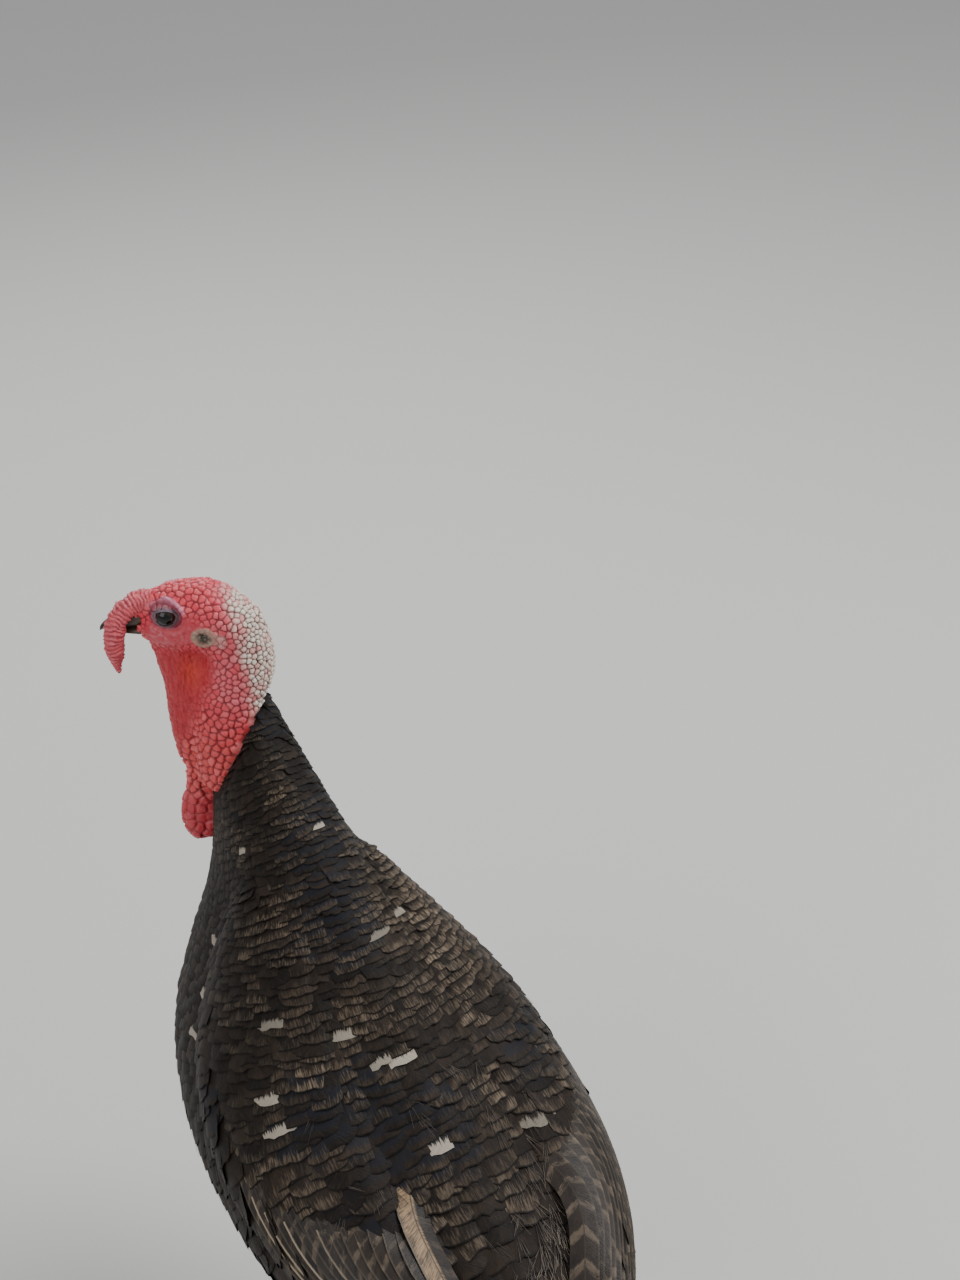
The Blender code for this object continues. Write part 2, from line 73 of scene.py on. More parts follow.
# The middle of the plumage from the nape to the tail's root: y, z and the lean of the section in degrees.
SPINE = np.array([
    (-0.158, 0.676, 38.0),
    (-0.131, 0.631, 35.0),
    (-0.101, 0.588, 28.0),
    (-0.074, 0.545, 24.0),
    (-0.052, 0.503, 22.0),
    (-0.034, 0.457, 22.0),
    (-0.014, 0.407, 24.0),
    (0.024, 0.361, 27.0),
    (0.078, 0.325, 30.0),
    (0.154, 0.300, 33.5),
    (0.218, 0.288, 35.0),
    (0.283, 0.282, 34.0),
    (0.337, 0.287, 32.0),
])

SIDES = (("left", 1), ("right", -1))
TOE_NAMES = ("hind", "inner", "middle", "outer")


def to_head(points):
    """Points of the model in the head's frame, in millimetres."""
    return (np.asarray(points) - HEAD_ORIGIN) @ HEAD_AXES / MM


def from_head(points):
    """Points given in the head's frame, in millimetres, as points of the model."""
    return np.asarray(points) * MM @ HEAD_AXES.T + HEAD_ORIGIN


def curve(rows, place):
    """Rows read along a Catmull-Rom curve, with place from 0 to the number of rows less one."""
    rows = np.asarray(rows, float)
    ends = np.vstack([2 * rows[0] - rows[1], rows, 2 * rows[-1] - rows[-2]])
    place = np.clip(np.asarray(place, float), 0, len(rows) - 1)
    i = np.minimum(place.astype(int), len(rows) - 2)
    u = (place - i)[..., None]
    before, a, b, after = ends[i], ends[i + 1], ends[i + 2], ends[i + 3]
    return 0.5 * (
        2 * a
        + (b - before) * u
        + (2 * before - 5 * a + 4 * b - after) * u**2
        + (3 * a - before - 3 * b + after) * u**3
    )


def ramp(x, low, high):
    """0 below low and 1 above high, with a smooth step between; low may be the larger."""
    s = np.clip((np.asarray(x, float) - low) / (high - low), 0, 1)
    return s * s * (3 - 2 * s)


def grain(points, size, seed=0):
    """Smooth noise from -1 to 1 at each point, with grains of this size."""
    p = np.atleast_2d(points) / size + 31.7 * (seed + 1)
    cell = np.floor(p).astype(np.int64)
    f = p - cell
    f = f * f * (3 - 2 * f)
    total = np.zeros(len(p))
    for corner in np.ndindex(2, 2, 2):
        c = cell + corner
        n = c[:, 0] * 73856093 ^ c[:, 1] * 19349663 ^ c[:, 2] * 83492791
        n = (n ^ (n >> 13)) * 1274126177 & 0xFFFFFFFF
        share = np.prod(np.where(np.array(corner) == 1, f, 1 - f), axis=1)
        total += share * (n / 2147483648.0 - 1)
    return total


# --- The shape to dress ---------------------------------------------------------------------------


def placed(name, data):
    """A new object in the scene."""
    obj = bpy.data.objects.new(name, data)
    bpy.context.scene.collection.objects.link(obj)
    return obj


def solids(*names):
    """The vertices and faces of CAD nodes, joined."""
    verts, faces = [], []
    for name in names:
        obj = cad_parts[name]
        base = len(verts)
        verts += [obj.matrix_world @ v.co for v in obj.data.vertices]
        faces += [[base + i for i in p.vertices] for p in obj.data.polygons]
    return verts, faces


def applied(obj):
    """Applies the object's modifiers."""
    graph = bpy.context.evaluated_depsgraph_get()
    mesh = bpy.data.meshes.new_from_object(obj.evaluated_get(graph))
    old = obj.data
    obj.modifiers.clear()
    obj.data = mesh
    bpy.data.meshes.remove(old)
    return obj


def copied(name, *names):
    """CAD nodes copied into one new object."""
    verts, faces = solids(*names)
    mesh = bpy.data.meshes.new(name)
    mesh.from_pydata(verts, [], faces)
    return placed(name, mesh)


def one_surface(name, names, size, passes):
    """CAD nodes as one closed surface of faces about this size, with its steps smoothed."""
    obj = copied(name, *names)
    remesh = obj.modifiers.new("one_surface", "REMESH")
    remesh.mode = "VOXEL"
    remesh.voxel_size = size
    smooth = obj.modifiers.new("even", "SMOOTH")
    smooth.factor = 0.5
    smooth.iterations = passes
    return applied(obj)


SHELL_GRAIN, SHELL_SMOOTHING = 0.005, 14


def soft_tree(*names):
    """The nodes' surface as feathers see it, with the steps between wings and back smoothed over."""
    obj = one_surface("shell", names, SHELL_GRAIN, SHELL_SMOOTHING)
    verts = [v.co.copy() for v in obj.data.vertices]
    tree = BVHTree.FromPolygons(verts, [tuple(p.vertices) for p in obj.data.polygons])
    bpy.data.objects.remove(obj)
    return tree


WING_NODES = [f"{part}_{side}" for side, _ in SIDES for part in ("wing", "wing_quills")]
ROOF = soft_tree("trunk", "neck_feathered", *WING_NODES)
ROOF_AND_TAIL = soft_tree("trunk", "neck_feathered", "tail", *WING_NODES)


def spine_at(t):
    """The spine's point and the direction towards the back at t."""
    y, z, lean = curve(SPINE, np.array([t * (len(SPINE) - 1)]))[0]
    lean = math.radians(lean)
    return Vector((0, y, z)) + SHIFT, Vector((0, math.cos(lean), math.sin(lean)))


def plumage(t, degrees, reach=0.30):
    """The plumage's outer surface at t and degrees as (point, normal), or None above the feather line."""
    middle, back = spine_at(t)
    a = math.radians(degrees)
    out = back * math.cos(a) + Vector((math.sin(a), 0, 0))
    point, normal, _, _ = ROOF.ray_cast(middle + out * reach, -out, reach)
    if point is None:
        return None
    return point, normal if normal.dot(out) > 0 else -normal


def eye_centre(sign):
    """The eyeball's middle in the head's frame, in millimetres."""
    return np.array((EYE_PLACE.x, EYE_PLACE.y * sign, EYE_PLACE.z)) / MM


def foot_middle(side):
    """The x and y where the toes meet the shank."""
    low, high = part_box("shank_" + side)
    return np.array(((low[0] + high[0]) / 2, low[1] + 0.011))


def onto(tree, point):
    """The nearest point of a surface, with its normal."""
    place, normal, _, _ = tree.find_nearest(point)
    return place, normal


# --- Objects from arrays --------------------------------------------------------------------------


def mesh_object(name, verts, faces, smooth=True):
    mesh = bpy.data.meshes.new(name)
    verts = np.asarray(verts, np.float32)
    faces = np.asarray(faces, np.int32)
    sides = faces.shape[1]
    mesh.vertices.add(len(verts))
    mesh.vertices.foreach_set("co", verts.ravel())
    mesh.loops.add(faces.size)
    mesh.loops.foreach_set("vertex_index", faces.ravel())
    mesh.polygons.add(len(faces))
    mesh.polygons.foreach_set("loop_start", np.arange(0, faces.size, sides, dtype=np.int32))
    mesh.update(calc_edges=True)
    if smooth:
        mesh.shade_smooth()
    return placed(name, mesh)


def add_uv(obj, name, per_vertex):
    layer = obj.data.uv_layers.new(name=name)
    loops = np.empty(len(obj.data.loops), np.int32)
    obj.data.loops.foreach_get("vertex_index", loops)
    layer.data.foreach_set("uv", np.asarray(per_vertex, np.float32)[loops].ravel())


def add_value(obj, name, per_vertex):
    layer = obj.data.attributes.new(name, "FLOAT", "POINT")
    layer.data.foreach_set("value", np.asarray(per_vertex, np.float32).ravel())


def add_colour(obj, name, per_vertex):
    layer = obj.data.attributes.new(name, "FLOAT_COLOR", "POINT")
    rgba = np.ones((len(per_vertex), 4), np.float32)
    rgba[:, :3] = per_vertex
    layer.data.foreach_set("color", rgba.ravel())


def coordinates(obj, what="co"):
    """The vertices' places, or with what="normal" their normals."""
    found = np.empty(len(obj.data.vertices) * 3, np.float32)
    obj.data.vertices.foreach_get(what, found)
    return found.reshape(-1, 3).astype(float)


def move(obj, points):
    obj.data.vertices.foreach_set("co", np.asarray(points, np.float32).ravel())
    obj.data.update()


# --- Materials ------------------------------------------------------------------------------------


class Signal:
    """A node's output. Sums, differences, products and abs() of it are Math nodes."""

    def __init__(self, look, socket):
        self.look, self.socket = look, socket

    def __add__(self, other):
        return self.look.maths("ADD", self, other)

    def __sub__(self, other):
        return self.look.maths("SUBTRACT", self, other)

    def __mul__(self, other):
        return self.look.maths("MULTIPLY", self, other)

    def __abs__(self):
        return self.look.maths("ABSOLUTE", self)

    def between(self, low, high):
        """The range low..high taken to 0..1, smoothly; low may be the larger."""
        made = self.look.node("ShaderNodeMapRange", interpolation_type="SMOOTHSTEP", clamp=True)
        self.look.feed(made, Value=self, From_Min=low, From_Max=high)
        return Signal(self.look, made.outputs["Result"])


class Look:
    """A Principled material and short ways to add nodes to it."""

    def __init__(self, name, roughness=0.5, specular=0.5):
        self.material = bpy.data.materials.new(name)
        self.material.use_nodes = True
        self.tree = self.material.node_tree
        self.shader = self.tree.nodes["Principled BSDF"]
        self.feed(self.shader, Roughness=roughness, Specular_IOR_Level=specular)

    def node(self, kind, **settings):
        made = self.tree.nodes.new(kind)
        for key, value in settings.items():
            setattr(made, key, value)
        return made

    def put(self, socket, x):
        """Sets a socket to a number or a colour, or links a signal to it."""
        if isinstance(x, Signal):
            self.tree.links.new(x.socket, socket)
        elif isinstance(x, tuple) and len(socket.default_value) == 4:
            socket.default_value = (*x, 1)
        else:
            socket.default_value = x

    def feed(self, node, **inputs):
        """Puts values into a node's inputs by name, with _ for each space."""
        for name, x in inputs.items():
            self.put(node.inputs[name.replace("_", " ")], x)

    def value(self, name):
        return Signal(self, self.node("ShaderNodeAttribute", attribute_name=name).outputs["Fac"])

    def colour(self, name):
        return Signal(self, self.node("ShaderNodeAttribute", attribute_name=name).outputs["Color"])

    def maths(self, operation, *values, clamp=False):
        made = self.node("ShaderNodeMath", operation=operation, use_clamp=clamp)
        for socket, x in zip(made.inputs, values):
            self.put(socket, x)
        return Signal(self, made.outputs[0])

    def mix(self, share, a, b, blend="MIX"):
        made = self.node("ShaderNodeMix", data_type="RGBA", blend_type=blend, clamp_factor=True)
        for i, x in ((0, share), (6, a), (7, b)):
            self.put(made.inputs[i], x)
        return Signal(self, made.outputs[2])

    def noise(self, scale, detail, roughness, vector=None):
        made = self.node("ShaderNodeTexNoise")
        if vector is None:
            vector = Signal(self, self.node("ShaderNodeTexCoord").outputs["Object"])
        self.feed(made, Vector=vector, Scale=scale, Detail=detail, Roughness=roughness)
        return Signal(self, made.outputs["Fac"])

    def vector(self, *parts):
        made = self.node("ShaderNodeCombineXYZ")
        for socket, x in zip(made.inputs, parts):
            self.put(socket, x)
        return Signal(self, made.outputs[0])

    def vane(self):
        """How far across the vane, -1 to 1, and how far along it, 0 to 1."""
        split = self.node("ShaderNodeSeparateXYZ")
        self.tree.links.new(self.node("ShaderNodeUVMap", uv_map="Vane").outputs[0], split.inputs[0])
        across, along = (Signal(self, split.outputs[i]) for i in (0, 1))
        return self.maths("MULTIPLY_ADD", across, 2.0, -1.0), along

    def paint(self, colour):
        self.feed(self.shader, Base_Color=colour)

    def rough(self, value):
        self.feed(self.shader, Roughness=value)

    def bump(self, height, distance, strength):
        made = self.node("ShaderNodeBump")
        self.feed(made, Strength=strength, Distance=distance, Height=height)
        self.feed(self.shader, Normal=Signal(self, made.outputs["Normal"]))


# Colours of the plumage, in linear light.
DARK = (0.0075, 0.0056, 0.0045)
BROWN = (0.0270, 0.0180, 0.0125)
PALE_BARB = (0.056, 0.039, 0.027)
# painted sheen: the bluish colour that stands in for the plumage's iridescence
PAINTED_BLUE_SHEEN = (0.0100, 0.0116, 0.0175)
# partly painted highlight: the bronze of the feathers' ends, made bright
BRONZE_AND_HIGHLIGHT = (0.2500, 0.1900, 0.1320)
INNER_BRONZE = (0.11, 0.078, 0.052)
BLACK_RIM = (0.0045, 0.0036, 0.0032)
WHITE_TIP = (0.4300, 0.3800, 0.3100)
QUILL_DARK = (0.0080, 0.0062, 0.0052)
QUILL_BROWN = (0.030, 0.021, 0.015)
BAR = (0.150, 0.112, 0.078)
PALE_RIM = (0.36, 0.285, 0.200)
TAN = (0.36, 0.235, 0.130)
BAR_PITCH = 0.021  # from one pale bar of a quill to the next


def feather_look():
    """Contour feathers: dark barbs, a paler brown base, a blackish band with patches of painted blue sheen,
    and a bronze or white end, the bronze partly painted highlight.
    """
    look = Look("feather", roughness=0.55, specular=0.13)
    across, along = look.vane()
    width = abs(across)
    slant = along - width * 0.42
    tone, fringe, white = (look.value(name) for name in ("tone", "fringe", "white"))
    seed = tone * 37.0

    def streaks(over, over_scale, under, under_scale, detail):
        return look.noise(1.0, detail, 0.6, look.vector(over * over_scale, under * under_scale, seed))

    barbs = streaks(across, 1.6, slant, 46.0, 2.0)
    blotch = streaks(across, 2.2, slant, 5.0, 3.0)
    frayed = streaks(across, 15.0, along, 4.5, 4.0)
    body = look.mix((tone * 0.6 + blotch * 0.7).between(0.45, 1.05), DARK, BROWN)
    body = look.mix(barbs.between(0.50, 0.78) * 0.40, body, PALE_BARB)
    # painted sheen: bluish patches on the band in place of the iridescent sheen
    sheen_band = along.between(0.60, 0.74) * along.between(0.94, 0.84)
    body = look.mix(sheen_band * look.value("gloss"), body, PAINTED_BLUE_SHEEN)
    # bronze ends and mottles: real bronze edging, partly painted highlight where the fringe share is
    # strongest
    edge = (along + (frayed - 0.5) * 0.46).between(0.79, 0.93) * along.between(0.995, 0.970)
    flecks = (frayed + blotch * 0.55).between(0.66, 1.00)
    body = look.mix(edge * fringe * (flecks * 0.85 + 0.12), body, BRONZE_AND_HIGHLIGHT)
    inner = along.between(0.35, 0.62) * along.between(0.80, 0.70) * flecks
    body = look.mix(inner * fringe * 0.30, body, INNER_BRONZE)
    body = look.mix(along.between(0.965, 0.985) * 0.8, body, BLACK_RIM)
    cap = (along - width * 0.07 + (frayed - 0.5) * 0.36).between(0.78, 0.86)
    cap = cap * look.maths("ADD", barbs * 0.6, 0.55, clamp=True)
    body = look.mix(cap * white, body, WHITE_TIP)
    shaft = width.between(0.04, 0.02) * along.between(0.90, 0.76)
    body = look.mix(shaft * 0.4, body, (0.018, 0.013, 0.010))
    look.paint(body)
    look.rough(barbs * 0.30 + 0.42)
    look.bump(barbs, 0.0006, 0.55)
    look.feed(look.shader, Sheen_Weight=0.02, Sheen_Roughness=0.45)
    return look.material


def flight_look():
    """Long wing and tail feathers: dark, with broken pale bars, mottling and a pale outer edge."""
    look = Look("flight_feather", roughness=0.50, specular=0.28)
    across, along = look.vane()
    width = abs(across)
    tone, bars, pale, tan = (look.value(name) for name in ("tone", "bars", "pale", "tan"))
    metres = (along - width * 0.045) * look.value("length")
    seed = tone * 53.0
    barbs = look.noise(1.0, 2.0, 0.6, look.vector(across * 1.6, metres * 1300.0, seed))
    blotch = look.noise(1.0, 3.0, 0.6, look.vector(across * 1.7, metres * 120.0, seed))
    wave = look.maths("SINE", metres * (2 * math.pi / BAR_PITCH) + blotch * 3.2)
    body = look.mix((tone * 0.5 + blotch).between(0.40, 1.10), QUILL_DARK, QUILL_BROWN)
    stripes = wave.between(0.35, 0.85) * (blotch + barbs * 0.4).between(0.50, 0.86)
    body = look.mix(stripes * bars, body, BAR)
    rim = (across + (barbs - 0.5) * 0.10).between(0.84, 0.93) * pale
    tip = along.between(0.975, 0.99) * pale
    body = look.mix(look.maths("MAXIMUM", rim, tip), body, PALE_RIM)
    speckled = tan * along.between(0.80, 0.50) * (barbs + blotch * 0.5).between(0.50, 0.95)
    body = look.mix(speckled * abs(across - 0.35).between(0.62, 0.45), body, TAN)
    body = look.mix(width.between(0.055, 0.030) * 0.85, body, (0.040, 0.029, 0.021))
    look.paint(body)
    look.rough(barbs * 0.26 + 0.34)
    look.bump(barbs, 0.0005, 0.5)
    return look.material


def down_look():
    """Loose, hair-like barbs of the flanks, thighs and vent."""
    look = Look("down", roughness=0.62, specular=0.30)
    _, along = look.vane()
    body = look.mix(look.value("tone").between(0.0, 1.0), (0.012, 0.009, 0.007), (0.050, 0.036, 0.027))
    look.paint(look.mix(along.between(0.55, 1.0) * look.value("fringe"), body, (0.34, 0.275, 0.210)))
    return look.material


def bristle_look():
    """The beard's and the ears' hair-like bristles."""
    look = Look("bristle", roughness=0.38)
    look.paint(look.mix(look.value("tone"), (0.010, 0.008, 0.007), (0.040, 0.030, 0.024)))
    return look.material


def skin_look():
    """Bare skin and leg scales: the colour is set over the surface, with fine mottling and pores."""
    look = Look("skin", specular=0.45)
    fine = look.noise(1500.0, 3.0, 0.6)
    coarse = look.noise(260.0, 3.0, 0.6)
    tint = look.colour("skin_colour")
    deeper = look.mix(1.0, tint, (0.78, 0.45, 0.48), "MULTIPLY")
    body = look.mix(coarse.between(0.35, 0.72) * 0.30, tint, deeper)
    body = look.mix(fine.between(0.52, 0.75) * 0.10, body, (0.95, 0.50, 0.48))
    bands = abs(look.maths("SINE", look.value("scute_run") * math.pi))
    seams = bands.between(0.34, 0.06) * look.value("scute_on")
    look.paint(look.mix(seams * 0.75, body, (0.050, 0.030, 0.024)))
    look.rough(fine * 0.22 + look.value("dryness"))
    look.bump(fine * 0.5 - seams, 0.0006, 0.6)
    look.feed(look.shader, Subsurface_Weight=0.05, Subsurface_Scale=0.5)
    look.feed(look.shader, Subsurface_Radius=(0.006, 0.0016, 0.0012))
    return look.material


def horn_look(name, dark, pale, scale):
    """Horn with growth lines that run round it; the paler end is nearer the flesh."""
    look = Look(name)
    coarse = look.noise(scale, 4.0, 0.6)
    lines = look.noise(scale * 7, 2.0, 0.5)
    share = look.value("tipward") + (coarse - 0.5) * 0.5
    body = look.mix(share.between(0.15, 0.95), pale, dark)
    look.paint(look.mix(lines.between(0.55, 0.8) * 0.25, body, pale))
    look.rough(coarse * 0.20 + 0.22)
    look.bump(lines, 0.00025, 0.5)
    return look.material


def eye_look():
    """A dark brown iris round a black pupil, under a clear wet cornea."""
    look = Look("eye", roughness=0.10, specular=0.35)
    off = look.value("off_axis")
    fibres = look.noise(1.0, 3.0, 0.6, look.vector(look.value("round_axis") * 16.0, off * 3.0, 0.0))
    iris = look.mix(fibres.between(0.35, 0.7), (0.009, 0.005, 0.004), (0.034, 0.017, 0.010))
    body = look.mix(off.between(0.36, 0.42), (0.001, 0.001, 0.001), iris)
    look.paint(look.mix(off.between(0.70, 0.80), body, (0.020, 0.013, 0.012)))
    look.feed(look.shader, Coat_Weight=0.2, Coat_Roughness=0.03)
    return look.material


LOOKS = {
    "feather": feather_look(),
    "flight": flight_look(),
    "down": down_look(),
    "bristle": bristle_look(),
    "skin": skin_look(),
    "bill": horn_look("bill_horn", (0.014, 0.011, 0.009), (0.085, 0.058, 0.040), 180.0),
    "claw": horn_look("claw_horn", (0.030, 0.022, 0.018), (0.20, 0.145, 0.11), 260.0),
    "eye": eye_look(),
}


# --- Vanes ----------------------------------------------------------------------------------------


class Coat:
    """Vanes gathered into one mesh. Each has a middle line, a normal along it and a width."""

    def __init__(self, name, along, across, look, slot):
        self.name, self.along, self.across, self.look, self.slot = name, along, across, look, slot
        self.lines, self.ups, self.widths, self.roots, self.values, self.ends = [], [], [], [], [], []

    def add(self, line, ups, half_width, root, **values):
        self.lines.append(line)
        self.ends.append(Vector(line[-1]))
        self.ups.append(ups)
        self.widths.append(half_width)
        self.roots.append(root)
        self.values.append(values)

    def build(self, outline, camber, ragged, seed, roll=0.0, ridge=0.0, lean=0.0):
        """Makes the mesh. outline(s, c) gives the half width's share and the end's pull back there."""
        rng = np.random.default_rng(seed)
        count = len(self.lines)
        m, k = self.along, self.across
        line = np.array(self.lines, float)
        up = np.array(self.ups, float)
        half = np.array(self.widths, float)[:, None, None]
        step = np.gradient(line, axis=1)
        length = np.linalg.norm(np.diff(line, axis=1), axis=2).sum(axis=1)[:, None, None]
        ahead = step / np.maximum(np.linalg.norm(step, axis=2, keepdims=True), 1e-12)
        side = np.cross(ahead, up)
        side /= np.maximum(np.linalg.norm(side, axis=2, keepdims=True), 1e-12)
        up = np.cross(side, ahead)
        s = np.linspace(0, 1, m + 1)[None, :, None]
        c = np.linspace(-1, 1, k + 1)[None, None, :]
        share, pulled = outline(s, c)
        share = np.broadcast_to(share, (1, m + 1, k + 1))
        notch = rng.random((count, 1, k + 1)) ** 3 * ragged * ramp(s, 0.55, 1.0)
        back = (pulled + notch) * length
        wobble = 1 + rng.normal(0, ragged * 0.45, (count, m + 1, k + 1)) * np.abs(c) ** 4
        offset = half * share * c * wobble
        tilt = lean + rng.normal(0, roll, (count, 1, 1))
        rise = -camber * half * c**2 * share + np.tan(tilt) * offset
        rise = rise + ridge * half * np.exp(-((c / 0.16) ** 2)) * (1 - s)
        points = (
            line[:, :, None, :]
            + side[:, :, None, :] * offset[..., None]
            + up[:, :, None, :] * rise[..., None]
            - ahead[:, :, None, :] * back[..., None]
        )
        grid = np.arange((m + 1) * (k + 1)).reshape(m + 1, k + 1)
        quads = np.stack([grid[:-1, :-1], grid[:-1, 1:], grid[1:, 1:], grid[1:, :-1]], axis=-1).reshape(-1, 4)
        faces = (quads[None] + (np.arange(count) * grid.size)[:, None, None]).reshape(-1, 4)
        obj = mesh_object(self.name, points.reshape(-1, 3), faces)
        vane = np.stack(np.broadcast_arrays(0.5 + math.copysign(0.5, lean) * c, s), axis=-1)
        vane = np.broadcast_to(vane, (count, m + 1, k + 1, 2)).reshape(-1, 2)
        bake = np.repeat(np.array(self.roots, float), grid.size, axis=0) + vane * 0.003
        add_uv(obj, "OFBake", bake)
        add_uv(obj, "Vane", vane)
        for key in self.values[0]:
            add_value(obj, key, np.repeat([v[key] for v in self.values], grid.size))
        obj.data.materials.append(LOOKS[self.look])
        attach(obj, "root")
        return obj


def broad(s, c):
    """A contour feather's outline: full sides and a broad, nearly square end."""
    share = np.clip(s / 0.30, 0.12, 1) ** 0.6 * (1 - 0.05 * np.clip((s - 0.7) / 0.3, 0, 1) ** 2)
    return share, 0.10 * np.abs(c) ** 3.2 * np.clip((s - 0.4) / 0.6, 0, 1)


def long_blade(s, c):
    """A flight feather's outline: nearly parallel sides and a round end."""
    share = np.clip(s / 0.10, 0.25, 1) ** 0.5
    return share, 0.085 * np.abs(c) ** 2.4 * np.clip((s - 0.7) / 0.3, 0, 1)


def strand(s, c):
    """A thin barb or bristle that narrows to its end."""
    return np.clip(1 - s, 0.06, 1) ** 0.6 + 0 * c, 0 * s * c


def laid(tree, root, normal, ahead, length, depth, lift, steps, bend=0.0):
    """A feather's middle line from under the surface to just over it, with its normals."""
    ends = []
    for share in (0.5, 1.0):
        place, up = onto(tree, root + ahead * (length * share))
        ends.append((place, up if up.dot(normal) > 0.2 else normal))
    (middle, up_middle), (end, up_end) = ends
    seat, up_seat = onto(tree, root)
    if (seat - root).length < length * 0.3 and up_seat.dot(normal) > 0.7:
        root, normal = seat, up_seat
    start = root - normal * depth
    middle = middle - up_middle * (depth * 0.38 - lift * 0.3) + bend * ahead.cross(normal) * 0.3
    end = end + up_end * lift + bend * ahead.cross(normal)
    control = middle * 2 - (start + end) / 2
    s = np.linspace(0, 1, steps + 1)[:, None]
    line = (1 - s) ** 2 * np.array(start) + 2 * s * (1 - s) * np.array(control) + s**2 * np.array(end)
    ups = (1 - s) * np.array(normal) + s * np.array(up_end)
    return line, ups / np.linalg.norm(ups, axis=1, keepdims=True)


# --- The body's feathers --------------------------------------------------------------------------

# The wing's lower front edge shows as a fold: (t, degrees from the back).
FOLD = np.array([(0.27, 86), (0.36, 84), (0.41, 78), (0.46, 69), (0.51, 62), (0.60, 56), (0.70, 52)])

# Sizes of the feathers along the bird: t, how much of each row shows, spacing across, half width, length.
SIZES = np.array([
    (0.00, 0.0046, 0.0085, 0.0074, 0.019),
    (0.12, 0.0052, 0.0100, 0.0090, 0.023),
    (0.25, 0.0062, 0.0130, 0.0122, 0.029),
    (0.38, 0.0073, 0.0165, 0.0158, 0.036),
    (0.52, 0.0096, 0.0205, 0.0196, 0.046),
    (0.66, 0.0135, 0.0240, 0.0222, 0.058),
    (0.80, 0.0175, 0.0265, 0.0235, 0.070),
    (1.00, 0.0210, 0.0270, 0.0235, 0.082),
])


# Feathers with a white end, as t and degrees, with how white they are.
WHITE_ENDS = (
    (0.230, -10, 1.0), (0.249, 62, 0.9), (0.386, 102, 1.0), (0.378, 100, 0.8), (0.448, 102, 0.9),
    (0.492, 100, 0.9), (0.436, 40, 0.5), (0.455, 18, 0.7), (0.504, 4, 1.0), (0.512, 10, 0.7),
    (0.523, 40, 0.9), (0.536, 39, 0.9), (0.616, 4, 1.0), (0.361, -24, 0.6), (0.367, -8, 0.5),
    (0.641, -26, 0.5), (0.340, -100, 0.9), (0.470, -108, 0.8), (0.560, -96, 0.6),
)


MANTLE_FROM, BACK_FROM = 0.27, 0.50  # where the coat's second and third pieces begin, as t
COAT_END = 0.985  # where the body's rows end, as t
AHEAD = 0.03  # how far on, as t, a feather's direction is read


def sizes_at(t):
    return [np.interp(t, SIZES[:, 0], SIZES[:, i]) for i in range(1, 5)]


def some_tone(rng, middle=0.5, spread=0.2):
    """A feather's own shade, 0 to 1."""
    return float(np.clip(rng.normal(middle, spread), 0, 1))


def bake_place(t, degrees):
    """Where a feather rooted at t and degrees lies in the OFBake map."""
    return 0.02 + 0.955 * (degrees / 360 + 0.5), 0.02 + 0.955 * min(max(t, 0.0), 1.0)


def bronze_and_highlight_at(point, t, degrees, rng):
    """How bronze a feather's end is, partly real bronze edging and partly painted highlight: strongest on the
    right of the mantle, faint low on the sides.
    """
    patch = grain(np.array([point]), 0.032, 3)[0] + 0.6 * grain(np.array([point]), 0.013, 5)[0]
    upper_right = math.exp(-(((degrees + 38) / 34) ** 2) - ((t - 0.36) / 0.13) ** 2)
    mantle = math.exp(-((degrees / 75) ** 2) - ((t - 0.45) / 0.26) ** 2)
    rump = math.exp(-(((degrees + 28) / 24) ** 2) - ((t - 0.66) / 0.07) ** 2)
    found = -0.06 + 0.17 * mantle + 0.76 * upper_right + 0.42 * rump + 0.52 * patch + rng.normal(0, 0.12)
    return float(np.clip(found, 0.02, 1.0))


def body_feathers():
    """Rows of contour feathers from the feather line to the rump, in three pieces."""
    rng = np.random.default_rng(7)
    parts = ("neck", "mantle", "back")
    coats = [Coat(f"contour_feathers_{part}", 9, 8, "feather", "plumage") for part in parts]
    paths = np.diff(curve(SPINE, np.linspace(0, len(SPINE) - 1, 201))[:, :2], axis=0)
    speed = np.linalg.norm(paths, axis=1).sum() * 1.08
    t, row = 0.035, 0
    while t < COAT_END:
        show, spacing, half, length = sizes_at(t)
        coat = coats[int(t >= MANTLE_FROM) + int(t >= BACK_FROM)]
        ring = [plumage(t, a) for a in range(0, 360, 15)]
        ring = [hit[0] for hit in ring if hit]
        if len(ring) > 3:
            middle = spine_at(t)[0]
            round_it = 2 * math.pi * np.mean([(p - middle).length for p in ring])
            count = max(8, round(round_it / spacing))
            for i in range(count):
                degrees = 360 * (i + 0.5 * (row % 2)) / count - 180 + rng.normal(0, 0.10) * 360 / count
                place = t - 0.030 * (min(abs(degrees), 120) / 90) ** 2 + rng.normal(0, 0.0011)
                add_contour(coat, rng, place, degrees, half, length)
        t += show / speed
        row += 1
    ends = [(coat, i, end) for coat in coats for i, end in enumerate(coat.ends)]
    for t, degrees, white in WHITE_ENDS:
        hit = plumage(t, degrees)
        coat, i, _ = min(ends, key=lambda found: (found[2] - hit[0]).length)
        coat.values[i]["white"] = white
    made = []
    for coat, seed in zip(coats, (11, 12, 13)):
        made.append(coat.build(broad, 0.20, 0.055, seed, roll=0.05, ridge=0.03))
    return made


